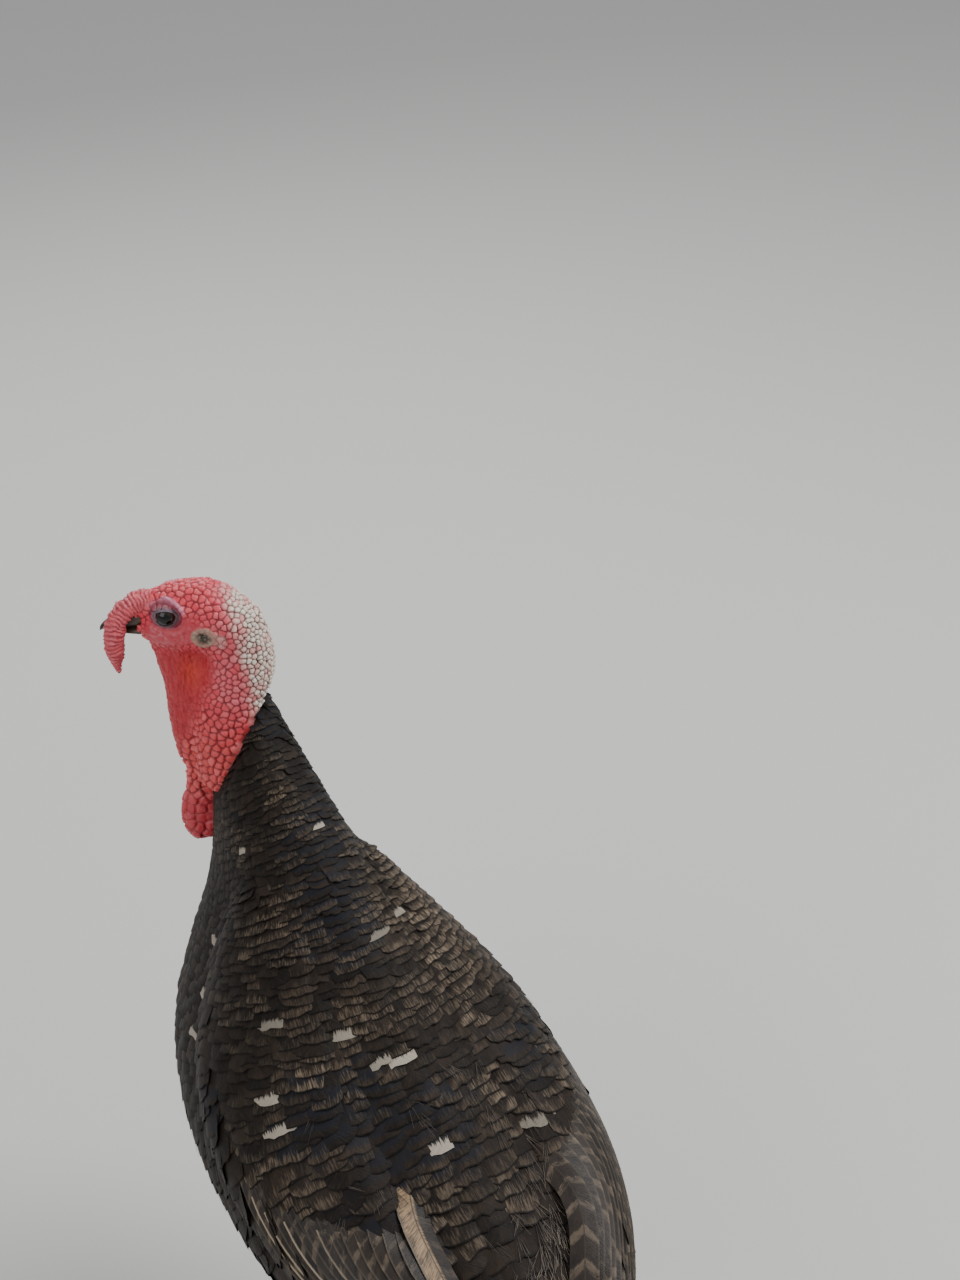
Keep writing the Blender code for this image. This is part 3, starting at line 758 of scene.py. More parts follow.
def add_contour(coat, rng, t, degrees, half, length):
    hit = plumage(t, degrees)
    ahead_hit = plumage(t + AHEAD, degrees)
    if hit is None or ahead_hit is None:
        return
    root, normal = hit
    ahead = (ahead_hit[0] - root).normalized()
    way = (spine_at(t + AHEAD)[0] - spine_at(t)[0]).normalized()
    if ahead.dot(way) < 0.6:
        ahead = way
    ahead = (ahead - normal * ahead.dot(normal)).normalized()
    swing = rng.normal(0, 0.055)
    ahead = (ahead + ahead.cross(normal) * swing).normalized()
    size = rng.normal(1, 0.05)
    fold = float(np.interp(t, FOLD[:, 0], FOLD[:, 1]))
    off_fold = (abs(degrees) - fold) * math.radians(1) * 0.12
    sunk = 0.0058 * math.exp(-((off_fold / 0.009) ** 2)) * float(ramp(t, 0.28, 0.36) * ramp(t, 0.74, 0.66))
    belly = ramp(abs(degrees), 95, 140)
    depth = 0.0030 + 0.05 * length
    lift = 0.0005 + 0.008 * length + abs(rng.normal(0, 0.008)) * length - sunk
    length = length * size * (1 + 0.10 * belly)
    start = root - ahead * (length * 0.55)
    line, ups = laid(ROOF_AND_TAIL, start, normal, ahead, length, depth + sunk, lift, coat.along)
    tone = some_tone(rng, 0.5, 0.22)
    # painted shade along the wing's fold: the bronze ends are dimmed where the feathers sink into it
    fringe = bronze_and_highlight_at(root, t, degrees, rng) * (1 - 0.6 * (sunk > 0.002))
    # painted sheen: bluish patches over the upper body, none low on the sides
    painted_sheen_patch = 0.7 * ramp(grain(np.array([root]), 0.05, 9)[0] + rng.normal(0, 0.12), 0.0, 0.55)
    gloss = float(painted_sheen_patch * ramp(abs(degrees), 120, 60))
    coat.add(line, ups, half * size, bake_place(t, degrees), tone=tone, fringe=fringe, white=0.0, gloss=gloss)


# --- Wings and tail -------------------------------------------------------------------------------


DOWN_THE_TAIL = Vector((0, 0.78, -0.62))


def along_body(places, steps, depth_start, lift_end, lift_middle=0.0):
    """A long feather's middle line through (t, degrees) places on the plumage, with its normals."""
    stations = np.linspace(0, len(places) - 1, steps + 1)
    line, ups = [], []
    for share, (t, degrees) in zip(np.linspace(0, 1, steps + 1), curve(places, stations)):
        hit = plumage(min(t, COAT_END), degrees)
        if hit is None:
            return None
        point, normal = hit
        if t > COAT_END:
            point, normal = onto(ROOF_AND_TAIL, point + DOWN_THE_TAIL * ((t - COAT_END) * 0.75))
        height = -depth_start * (1 - share) ** 5 + lift_end * share + lift_middle * math.sin(math.pi * share)
        line.append(np.array(point + normal * height))
        ups.append(np.array(normal))
    line, ups = np.array(line), np.array(ups)
    for _ in range(3):
        line[1:-1] = (line[:-2] + 2 * line[1:-1] + line[2:]) / 4
        ups[1:-1] = (ups[:-2] + 2 * ups[1:-1] + ups[2:]) / 4
    return line, ups / np.linalg.norm(ups, axis=1, keepdims=True)


PALE_EDGED = (1, 2, 4, 7)  # the left wing's quills with a pale outer edge, counted from the lowest
WING_QUILLS = 14
TAN_QUILL = [(0.630, 15), (0.700, 21), (0.800, 24), (0.915, 17)]  # its run, as t and degrees


def wing_feathers(side, sign):
    """The long quills of a folded wing: secondaries over primaries, each showing its outer edge."""
    rng = np.random.default_rng(21 if sign > 0 else 22)
    coat = Coat("flight_feathers_" + side, 30, 8, "flight", "quills")
    for i in range(WING_QUILLS):
        share = i / (WING_QUILLS - 1)
        start = (0.540 + 0.115 * share, 56 - 37 * share)
        middle = (0.700 + 0.045 * share, 51 - 26 * share)
        end = (0.930 - 0.02 * share + 0.012 * (i % 2), 37 - 24 * share)
        height = 0.0018 + 0.0034 * share
        places = [(t, sign * d) for t, d in (start, middle, end)]
        found = along_body(places, coat.along, 0.0095, height, height)
        if found is None:
            continue
        line, ups = found
        pale = 0.9 if sign > 0 and i in PALE_EDGED else 0.14
        add_quill(coat, rng, line, ups, 0.0130 - 0.002 * share, (0.1 + 0.4 * share, 0.55), 0.75, pale)
    if sign > 0:
        line, ups = along_body(TAN_QUILL, coat.along, 0.004, 0.0060, 0.0045)
        add_quill(coat, rng, line, ups, 0.0120, (0.52, 0.60), 0.3, 0.4, 1.0)
    return coat.build(long_blade, 0.07, 0.020, 31, ridge=0.05, lean=0.13 * sign)


def add_quill(coat, rng, line, ups, half, root, bars, pale, tan=0.0):
    coat.add(
        line,
        ups,
        half,
        root,
        tone=some_tone(rng),
        bars=bars * rng.uniform(0.6, 1.0),
        pale=pale * rng.uniform(0.5, 1.0),
        tan=tan,
        length=float(np.linalg.norm(np.diff(line, axis=0), axis=1).sum()),
    )


TAIL_SLOPE = math.radians(-38)
TAIL_ROOT = Vector((0, 0.262, 0.384)) + SHIFT
TAIL_REACH = 0.3706
TAIL_QUILLS = 18


def tail_point(share, sideways, lift=0.0):
    """A point on the tail's top, share along it, and sideways from -1 to 1 across its width."""
    along = Vector((0, math.cos(TAIL_SLOPE), math.sin(TAIL_SLOPE)))
    up = Vector((0, -math.sin(TAIL_SLOPE), math.cos(TAIL_SLOPE)))
    spread = 0.036 + 0.050 * share**0.8
    droop = 0.020 + 0.006 * share
    point = TAIL_ROOT + along * (TAIL_REACH * share) - up * (droop * abs(sideways) ** 1.5 - lift)
    return point + Vector((spread * sideways, 0, 0)), (up + Vector((0.35 * sideways, 0, 0))).normalized()


def tail_feathers():
    """The folded fan: the middle pair lies on top, and each pair out from it lies lower."""
    rng = np.random.default_rng(41)
    quills = Coat("tail_feathers", 34, 8, "flight", "quills")
    for i in range(TAIL_QUILLS):
        across = 2 * i / (TAIL_QUILLS - 1) - 1
        reach = 0.985 - 0.13 * abs(across) ** 3
        stations = np.linspace(0.10, reach, quills.along + 1)
        pairs = [tail_point(s, 0.80 * across, -0.0006 - 0.0042 * abs(across)) for s in stations]
        line = np.array([p for p, _ in pairs])
        ups = np.array([u for _, u in pairs])
        add_quill(quills, rng, line, ups, 0.0185, (0.2 + 0.6 * i / TAIL_QUILLS, 0.02), 1.0, 0.16)
    made = [quills.build(long_blade, 0.10, 0.018, 42, ridge=0.05)]
    coverts = Coat("tail_coverts", 12, 8, "feather", "plumage")
    for row, start in enumerate((0.10, 0.16, 0.22, 0.28, 0.34)):
        count = 9 - row % 2
        for i in range(count):
            across = (2 * (i + 0.5) / count - 1) * 0.95
            stations = np.linspace(start, start + 0.26 + 0.02 * rng.random(), coverts.along + 1)
            lift = np.linspace(-0.002, 0.0040 - 0.0004 * row, coverts.along + 1)
            pairs = [tail_point(s, across + rng.normal(0, 0.02), h) for s, h in zip(stations, lift)]
            coverts.add(
                np.array([p for p, _ in pairs]),
                np.array([u for _, u in pairs]),
                0.0190,
                (0.2 + 0.6 * i / count, 0.05 + 0.02 * row),
                tone=some_tone(rng),
                fringe=float(rng.uniform(0.5, 1.0)),
                white=0.0,
                gloss=0.4,
            )
    made.append(coverts.build(broad, 0.18, 0.05, 43, roll=0.04, ridge=0.03))
    return made


# --- Loose feathers of the thighs, flanks and vent ------------------------------------------------


def scattered(names, spacing, seed):
    """Points spread evenly over the nodes' surface, with their normals."""
    verts, faces = solids(*names)
    rng = np.random.default_rng(seed)
    verts = np.array(verts)
    corners = np.array([face[:3] for face in faces if len(face) >= 3])
    a, b, c = (verts[corners[:, i]] for i in range(3))
    cross = np.cross(b - a, c - a)
    area = np.linalg.norm(cross, axis=1)
    tries = int(area.sum() / 2 / spacing**2 * 5)
    chosen = rng.choice(len(corners), tries, p=area / area.sum())
    u, v = rng.random((2, tries, 1))
    flip = u + v > 1
    u, v = np.where(flip, 1 - u, u), np.where(flip, 1 - v, v)
    points = a[chosen] + u * (b - a)[chosen] + v * (c - a)[chosen]
    ups = cross[chosen] / area[chosen][:, None]
    return thinned(points, np.full(tries, spacing), ups)


NEIGHBOURS = [np.array(step) - 1 for step in np.ndindex(3, 3, 3)]


def thinned(points, apart, carried):
    """Drops each point that is nearer than its own distance to one already kept."""
    cell = float(apart.max())
    kept, grid = [], {}
    for i, point in enumerate(points):
        key = (point // cell).astype(int)
        near = (j for step in NEIGHBOURS for j in grid.get(tuple(key + step), ()))
        if all(np.sum((points[j] - point) ** 2) >= apart[i] ** 2 for j in near):
            kept.append(i)
            grid.setdefault(tuple(key), []).append(i)
    return points[kept], carried[kept]


def thigh_feathers():
    rng = np.random.default_rng(51)
    coat = Coat("thigh_feathers", 9, 6, "feather", "plumage")
    names = [f"thigh_{side}" for side, _ in SIDES]
    tree = BVHTree.FromPolygons(*solids(*names))
    for point, up in zip(*scattered(names, 0.0080, 52)):
        normal = Vector(up)
        ahead = Vector((0, 0.25, -1))
        ahead = (ahead - normal * ahead.dot(normal)).normalized()
        length = float(np.interp(point[2], (0.17, 0.28), (0.015, 0.034)))
        start = Vector(point) - ahead * length * 0.4
        line, ups = laid(tree, start, normal, ahead, length, 0.0035, 0.0012, coat.along)
        coat.add(
            line,
            ups,
            length * 0.26,
            (0.5 + 0.45 * math.atan2(up[0], up[1]) / math.pi, 0.05 + 0.5 * point[2]),
            tone=some_tone(rng, 0.45),
            fringe=float(rng.uniform(0.05, 0.35)),
            white=0.0,
            gloss=0.2,
        )
    return coat.build(broad, 0.25, 0.10, 53, roll=0.08)


BARB_TRIES = 5200
BEARD_BRISTLES, EAR_BRISTLES = 420, 260  # the second is for each ear
BARB_HALF_WIDTH = 0.00042
BRISTLE_HALF_WIDTH = 0.00038
EAR_BRISTLE_HALF_WIDTH = 0.00016


def loose_barbs():
    """Hair-like barbs that break up the flank, the belly, the vent and the rump's right side."""
    rng = np.random.default_rng(61)
    coat = Coat("loose_barbs", 7, 1, "down", "plumage")
    for _ in range(BARB_TRIES):
        t, degrees = rng.uniform(0.50, 0.97), rng.uniform(-180, 180)
        low = ramp(abs(degrees), 105, 150)
        right_rump = math.exp(-(((degrees + 23) / 13) ** 2) - ((t - 0.77) / 0.065) ** 2)
        if rng.random() > 0.04 + 0.55 * low + 2.5 * right_rump:
            continue
        hit, ahead_hit = plumage(t, degrees), plumage(t + 0.02, degrees)
        if hit is None or ahead_hit is None:
            continue
        root, normal = hit
        ahead = (ahead_hit[0] - root).normalized()
        fan = rng.normal(0, 0.35)
        tone = rng.random()
        fringe = float(np.clip(0.15 + 0.8 * right_rump + rng.normal(0, 0.1), 0, 1))
        for j in range(5):
            turned = (ahead + ahead.cross(normal) * (fan + 0.10 * (j - 2) + rng.normal(0, 0.03))).normalized()
            length = rng.uniform(0.018, 0.034)
            lift = 0.0018 + 0.0016 * rng.random()
            bend = rng.normal(0, 0.0015)
            line, ups = laid(ROOF_AND_TAIL, root, normal, turned, length, 0.002, lift, coat.along, bend)
            coat.add(line, ups, BARB_HALF_WIDTH, bake_place(t, degrees), tone=tone, fringe=fringe)
    return coat.build(strand, 0.0, 0.0, 62)


def beard_bristles():
    rng = np.random.default_rng(71)
    coat = Coat("beard_bristles", 12, 1, "bristle", "beard")
    low, high = (Vector(c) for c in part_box("beard"))
    tree = BVHTree.FromPolygons(*solids("beard"))
    for _ in range(BEARD_BRISTLES):
        x, y = rng.normal(0, 0.30, 2)
        end = rng.uniform(0.72, 1.0)
        line = []
        for share in np.linspace(0, end, coat.along + 1):
            z = high.z - 0.004 - share * (high.z - low.z - 0.006)
            front = tree.ray_cast(Vector((0, low.y - 0.05, z)), Vector((0, 1, 0)))[0]
            rear = tree.ray_cast(Vector((0, high.y + 0.05, z)), Vector((0, -1, 0)))[0]
            middle = (front + rear) / 2 if front and rear else Vector((0, low.y, z))
            narrow = 0.0060 * (0.75 + 0.35 * share)
            line.append((x * narrow * 1.6, middle.y + y * 0.0042, z))
        ups = np.tile((0.25 * x, -1.0, 0.15), (coat.along + 1, 1))
        coat.add(np.array(line), ups, BRISTLE_HALF_WIDTH, (0.5 + 0.1 * x, 0.9), tone=rng.random())
    return coat.build(strand, 0.0, 0.0, 72)


# --- The skin -------------------------------------------------------------------------------------

BARE_NODES = ["head", "neck_bare", "dewlap", "caruncles", "snood", "ear_left", "ear_right"]
LEG_PARTS = ("shank", *(f"toe_{toe}" for toe in TOE_NAMES))
LEG_NODES = [f"{part}_{side}" for side, _ in SIDES for part in LEG_PARTS]
COATED_NODES = ["trunk", "neck_feathered", "thigh_left", "thigh_right", *WING_NODES]
EYE_NODES = ["eye_left", "eye_right"]

# The plane where the neck's feathers start, in the head's frame, in millimetres, and the way past it.
FEATHER_LINE = np.array((-48.5, 22.0, -124.6))
FEATHER_LINE_SQUARE = np.array((-0.886, 0.0, -0.463))

SKIN_GRAIN = 0.0036
COAT_DEPTH = 0.0085
KEPT_UNDER_FEATHERS = 0.20  # the share of the skin's faces kept where feathers hide them
HIDDEN_SKIN = (0.10, 0.060, 0.050)

# The snood's middle line in the head's frame, in millimetres.
SNOOD = np.array([
    (8, 0, 9), (20, 2, 6), (30, 6.5, 1), (37, 12.5, -8),
    (39, 16, -20), (39.4, 16.5, -33), (39, 16, -45), (38.5, 16, -55),
])

# The smooth throat's rear edge in the head's frame: height, then how far forward, in millimetres.
THROAT_EDGE = np.array([(-150, 6), (-140, 2), (-115, -11), (-80, -25), (-45, -36), (-20, -36)])
EAR_MIDDLE = np.array((-31.5, 24.0, -14.5))

APERTURE = (8.6, 6.9)  # half the eye's opening, fore and aft and up and down, in millimetres


def skin_cage():
    """All the flesh as one closed surface, fine on the head and legs."""
    skin = one_surface("skin", [*BARE_NODES, *LEG_NODES, *COATED_NODES, *EYE_NODES], SKIN_GRAIN, 2)
    points = coordinates(skin)
    coated = coat_share(points)
    group = skin.vertex_groups.new(name="coated")
    for i in np.flatnonzero(coated > 0.5):
        group.add([int(i)], 1.0, "REPLACE")
    thin = skin.modifiers.new("fewer_under_feathers", "DECIMATE")
    thin.vertex_group = "coated"
    thin.ratio = KEPT_UNDER_FEATHERS
    applied(skin)
    shape = bmesh.new()
    shape.from_mesh(skin.data)
    for wanted in (want_fine, want_finer):
        shape.verts.ensure_lookup_table()
        marks = wanted(np.array([v.co for v in shape.verts]))
        edges = [e for e in shape.edges if marks[e.verts[0].index] and marks[e.verts[1].index]]
        bmesh.ops.subdivide_edges(shape, edges=edges, cuts=1, use_grid_fill=True, smooth=0.0)
        shape.verts.index_update()
    bmesh.ops.triangulate(shape, faces=[f for f in shape.faces if len(f.verts) > 4])
    shape.to_mesh(skin.data)
    shape.free()
    for obj_group in list(skin.vertex_groups):
        skin.vertex_groups.remove(obj_group)
    return skin


def distances(points, names):
    tree = BVHTree.FromPolygons(*solids(*names))
    return np.array([tree.find_nearest(Vector(p))[3] for p in points])


def coat_share(points):
    """1 where feathers cover the skin and 0 where it is bare."""
    bare = distances(points, [*BARE_NODES, *LEG_NODES, *EYE_NODES])
    under = distances(points, COATED_NODES)
    past_line = (to_head(points) - FEATHER_LINE) @ FEATHER_LINE_SQUARE
    feathered = ramp(past_line, 0.5, 4.0) * ramp(under, 0.0028, 0.0014)
    return np.maximum(ramp(bare - under, -0.001, 0.004), feathered)


def want_fine(points):
    head = to_head(points)
    on_head = (head[:, 2] > -240) & (np.abs(head[:, 0] + 20) < 75) & (np.abs(head[:, 1]) < 42)
    on_head &= distances(points, BARE_NODES + EYE_NODES) < 0.0022
    on_leg = distances(points, LEG_NODES) < 0.002
    return on_head | on_leg


def want_finer(points):
    head = to_head(points)
    near = (head[:, 2] > -240) & (np.abs(head[:, 0] + 20) < 75)
    found = np.zeros(len(points), bool)
    where = np.flatnonzero(near)
    found[where] = distances(points[where], BARE_NODES + EYE_NODES) < 0.0020
    return found


def nodules(points, apart, rng):
    """For each point: how far inside its nodule it is, 0 at a crease to 1, and the nodule's number."""
    order = rng.permutation(len(points))
    seeds, _ = thinned(points[order], apart[order], order)
    tree = KDTree(len(seeds))
    for i, seed in enumerate(seeds):
        tree.insert(seed, i)
    tree.balance()
    inside, number = np.empty(len(points)), np.empty(len(points), int)
    for i, point in enumerate(points):
        (_, first, near), (_, _, far) = tree.find_n(point, 2)
        dome = math.sqrt(max(1 - (near / apart[i] / 0.95) ** 2, 0.0))
        inside[i] = min((far - near) / apart[i] * 1.9, 1.0) * dome
        number[i] = first
    return inside, number


def snood_place(head):
    """The distance to the snood's middle line in millimetres, and how far along it the nearest point is."""
    line = curve(SNOOD, np.linspace(0, len(SNOOD) - 1, 141))
    steps = np.concatenate([[0], np.cumsum(np.linalg.norm(np.diff(line, axis=0), axis=1))])
    best, at = np.full(len(head), 1e9), np.zeros(len(head))
    for point, run in zip(line, steps):
        away = np.linalg.norm(head - point, axis=1)
        nearer = away < best
        best[nearer], at[nearer] = away[nearer], run
    return best, at


def mix_in(colour, share, other):
    return colour + (np.asarray(other) - colour) * np.asarray(share)[:, None]


def dress_skin(skin):
    """Adds the folds, nodules, lids and scutes, and paints the skin."""
    rng = np.random.default_rng(81)
    points, ups = coordinates(skin), coordinates(skin, "normal")
    coated = coat_share(points)
    head = to_head(points)
    x, y, z = head.T
    leg = distances(points, LEG_NODES) < 0.0025
    bare = (coated < 0.5) & ~leg
    flank = np.abs(y)

    # where the skin is smooth: round the eye, on the cheek and down the throat
    waver = 3.0 * grain(head, 9.0, 27)
    throat = ramp(x + waver - np.interp(z, THROAT_EDGE[:, 0], THROAT_EDGE[:, 1]), -5, 6) * ramp(z, -148, -125)
    throat *= ramp(z + 1.4 * waver + 0.20 * np.abs(x + 15), -15, -44)
    off_cheek = np.hypot((x + 6) / 25, (z + 13 + 0.22 * (x + 6)) / 15) + 0.10 * grain(head, 7.0, 31)
    cheek = ramp(off_cheek, 1.18, 0.74)
    smooth = np.maximum(throat, cheek)
    snood_off, snood_run = snood_place(head)
    snood = ramp(snood_off, 11.0, 8.8) * ramp(x, 6, 14)
    bulb = ramp(z, -170, -190)
    cream_edge = np.interp(z, (-110, -80, -40, 0, 20), (70, 66, 62, 55, 47))
    cream = ramp(-x - cream_edge, -9, 13) * ramp(z, -118, -86)
    mirrored = np.where((y > 0)[:, None], head, head * (1, -1, 1))
    off_ear = np.linalg.norm((mirrored - EAR_MIDDLE) / (9.8, 9, 9.0), axis=1)
    off_ear = off_ear + 0.10 * grain(head, 4.5, 34)
    ear = ramp(off_ear, 1.12, 0.86)

    # nodules with creases between them
    apart = (4.3 - 0.9 * cream + 1.3 * ramp(z, -60, -120) + 2.6 * bulb - 1.3 * cheek) * MM
    where = np.flatnonzero(bare)
    inside, number = np.ones(len(points)), np.zeros(len(points), int)
    wobble = np.stack([grain(points[where], 0.0042, k) for k in (21, 22, 23)], 1) * 0.0008
    inside[where], number[where] = nodules(points[where] + wobble, apart[where], rng)
    dome = 1 - (1 - np.clip(inside / 0.85, 0, 1)) ** 1.8
    crease = 1 - ramp(inside, 0.10, 0.46)
    knob = rng.random(number.max() + 1)[number]
    tall = 1.45 + 0.50 * cream + 0.75 * ramp(z, -60, -120) - 0.2 * bulb
    tall = tall * (1 - 0.80 * smooth) * (1 - snood) * (1 - ear)
    rise = tall * (dome * (0.65 + 0.7 * knob) - 0.55) + 0.22 * grain(head, 2.0, 24) * bare

    # the wrinkles of the snood, the throat and the face, in millimetres
    rings = np.sin(2 * math.pi * snood_run / 3.2 + 3.4 * grain(head, 5.5, 1))
    rings = rings * (0.75 + 0.6 * grain(head, 4.0, 32))
    rings = rings + 0.35 * np.sin(2 * math.pi * snood_run / 1.5 + 3 * grain(head, 3.0, 2))
    rise += snood * (0.66 * rings + 1.1 * grain(head, 4.6, 25) + 0.45)
    pleat = grain(head * (1.9, 1.9, 0.42), 2.6, 4) + 0.6 * grain(head * (3.4, 3.4, 1.1), 2.6, 5)
    rise += throat * (1 - snood) * 0.42 * pleat
    rise += cheek * (1 - snood) * 0.24 * grain(head, 1.7, 6) + 0.10 * grain(head, 0.9, 7) * bare

    # the brow's fold over each eye
    eye_x, eye_z = x - EYE_PLACE.x / MM, z - EYE_PLACE.z / MM
    off_eye = np.hypot(eye_x / 1.22, eye_z)
    angle = np.degrees(np.arctan2(eye_z, eye_x))
    above = ramp(angle, 8, 38) * ramp(angle, 178, 148)
    brow = np.exp(-(((off_eye - 12.4) / 1.5) ** 2)) * above * ramp(flank, 8, 12)
    rise += 2.3 * brow - 1.2 * np.exp(-(((off_eye - 10.0) / 0.9) ** 2)) * above
    outward = ramp(flank, 8, 12)
    under = np.exp(-(((off_eye - 15.5 - 1.5 * grain(head, 8, 26)) / 1.6) ** 2))
    rise += under * ramp(angle, -25, -60) * outward
    rise -= 0.9 * np.exp(-(((off_eye - 12.6) / 1.1) ** 2)) * ramp(angle, -20, -60) * outward
    rise[~bare] = 0
    moved = points + ups * (rise * MM)[:, None]

    # the lids hug the eyeball, and the opening's skin drops behind it
    for sign in (1, -1):
        centre = eye_centre(sign)
        local = to_head(moved) - centre
        reach = np.hypot(local[:, 0] / APERTURE[0], local[:, 2] / APERTURE[1])
        facing = (local[:, 1] * sign > -2) & (np.linalg.norm(local, axis=1) < 17)
        radius = EYE_RADIUS / MM
        flat = np.hypot(local[:, 0], local[:, 2])
        shell = radius + 0.95 + 0.16 * np.cos(2 * math.pi * (reach - 1.0) / 0.17) * ramp(reach, 1.0, 1.1)
        height = np.sqrt(np.maximum(shell**2 - np.minimum(flat, 0.96 * shell) ** 2, 0)) * sign
        share = ramp(reach, 1.62, 1.18) * facing
        local[:, 1] += share * (height - local[:, 1])
        hole = ramp(reach, 1.03, 0.93) * facing
        local *= (1 - hole * (1 - (radius - 1.4) / np.maximum(np.linalg.norm(local, axis=1), 1)))[:, None]
        touched = share + hole > 0
        moved[touched] = from_head(local + centre)[touched]

    # a hollow in each ear's patch, scutes on the legs, and the coat's depth
    ear_rim = np.exp(-(((off_ear - 0.82) / 0.16) ** 2))
    moved += ups * ((0.9 * ear_rim - 1.9 * ramp(off_ear, 0.60, 0.15)) * bare * MM)[:, None]
    scute_run = scutes(points)
    moved -= ups * (coated * COAT_DEPTH)[:, None]
    move(skin, moved)
    colour = paint_skin(
        head, bare, leg, flank, smooth, throat, cheek, snood, rings, pleat, bulb, cream,
        crease, dome, knob, brow, off_eye, ear, off_ear,
    )
    add_colour(skin, "skin_colour", colour)
    add_value(skin, "dryness", np.where(bare, 0.27 + 0.16 * cream + 0.2 * ear, 0.42))
    add_value(skin, "scute_run", scute_run)
    add_value(skin, "scute_on", leg.astype(float))
    skin.data.materials.clear()
    skin.data.materials.append(LOOKS["skin"])
    skin.data.shade_smooth()


def scutes(points):
    """How many scales up the shank, or out along the toes, each point is."""
    found = np.zeros(len(points))
    for side, _ in SIDES:
        foot = foot_middle(side)
        out = np.hypot(points[:, 0] - foot[0], points[:, 1] - foot[1])
        run = points[:, 2] + ramp(points[:, 2], 0.034, 0.012) * out
        found = np.where(out < 0.09, run / 0.0056 + 0.12 * grain(points, 0.006, 8), found)
    return found


def paint_skin(
    head, bare, leg, flank, smooth, throat, cheek, snood, rings, pleat, bulb, cream,
    crease, dome, knob, brow, off_eye, ear, off_ear,
):
    """The skin's colour, from red flesh, by shares of other colours laid one over another; some shares are
    painted highlight on raised skin and painted shade in creases, troughs and hollows.
    """
    x, _, z = head.T
    face = cheek * (1 - throat)
    nape_side = ramp(-x, 22, 56) * ramp(z, -112, -60)
    pale = np.clip(cream * (0.35 + 1.3 * knob) * (0.35 + 0.65 * dome) * 1.35, 0, 1)
    orange = np.exp(-(((x + 17) / 9) ** 2) - ((z + 58) / 15) ** 2) * throat
    blush = ramp(grain(head, 2.6, 28), 0.0, 0.8) * ramp(x, -30, 4)
    # painted shade: the creases between nodules, for darkening below
    crease_shade = crease * (1 - 0.9 * smooth) * (1 - snood) * (1 - ear) * bare
    side = ramp(flank, 7, 11) * bare
    lobe = ramp(np.hypot((x + 43) / 7.5, (z + 16) / 8) + 0.3 * grain(head, 4.0, 33), 1.1, 0.5) * side
    colour = np.tile((0.72, 0.040, 0.068), (len(head), 1))
    for share, other in (
        (0.8 * ramp(z, -60, -130), (0.60, 0.062, 0.052)),
        (0.5 * ramp(grain(head, 9, 11), 0.1, 0.8), (0.72, 0.11, 0.13)),
        # painted highlight: the nodules' domes are lighter on top
        (0.55 * dome * ramp(knob, 0.15, 1.0), (0.88, 0.17, 0.18)),
        (0.50 * nape_side * (0.4 + 0.6 * knob), (0.66, 0.22, 0.25)),
        (pale, (0.78, 0.71, 0.60)),
        (0.92 * throat, (0.45, 0.016, 0.026)),
        (0.9 * orange, (0.66, 0.045, 0.022)),
        (0.8 * face, (0.50, 0.045, 0.068)),
        (0.6 * face * blush, (0.66, 0.25, 0.30)),
        # painted highlight on the pleats' ridges, and painted shade in their troughs on the next line
        (np.clip(0.26 * (throat + cheek) * np.maximum(pleat, 0), 0, 1), (0.64, 0.08, 0.10)),
        (np.clip(-0.45 * throat * pleat, 0, 1), (0.26, 0.008, 0.014)),
        (0.75 * bulb, (0.50, 0.035, 0.055)),
        (0.9 * snood, (0.62, 0.085, 0.105)),
        # painted highlight on the snood's wrinkle crests, and painted shade in their troughs on the next line
        (snood * np.clip(0.55 * rings, 0, 0.8), (0.76, 0.22, 0.25)),
        (snood * np.clip(-0.8 * rings, 0, 0.9), (0.25, 0.016, 0.030)),
        # painted shade in the creases between nodules, on this line and the next
        (crease_shade * (0.88 - 0.5 * bulb), (0.15, 0.006, 0.012)),
        (0.8 * crease_shade * cream, (0.050, 0.028, 0.024)),
        (0.95 * np.exp(-(((off_eye - 7.8) / 1.7) ** 2)) * side, (0.150, 0.118, 0.145)),
        # painted shade: a dark ring in the fold round the lids
        (0.80 * np.exp(-(((off_eye - 10.1) / 0.8) ** 2)) * side, (0.15, 0.024, 0.048)),
        (np.clip(brow * 1.05, 0, 0.92) * bare, (0.56, 0.225, 0.330)),
        (0.65 * lobe * (0.3 + 0.7 * knob), (0.56, 0.42, 0.36)),
        (ear * (0.80 + 0.2 * grain(head, 2.2, 35)), (0.29, 0.235, 0.165)),
        # painted shade: the dark middle of the ear's hollow
        (ramp(off_ear, 0.72, 0.40) * bare, (0.060, 0.042, 0.028)),
        (0.5 * ear * ramp(grain(head, 1.4, 12), 0.0, 0.7), (0.52, 0.46, 0.36)),
    ):
        colour = mix_in(colour, share, other)
    colour[~bare & ~leg] = HIDDEN_SKIN
    scales = np.tile((0.30, 0.175, 0.135), (len(head), 1))
    scales = mix_in(scales, 0.6 * ramp(grain(head, 14, 13), -0.4, 0.6), (0.19, 0.095, 0.072))
    colour[leg] = scales[leg]
    return np.clip(colour, 0, 1)


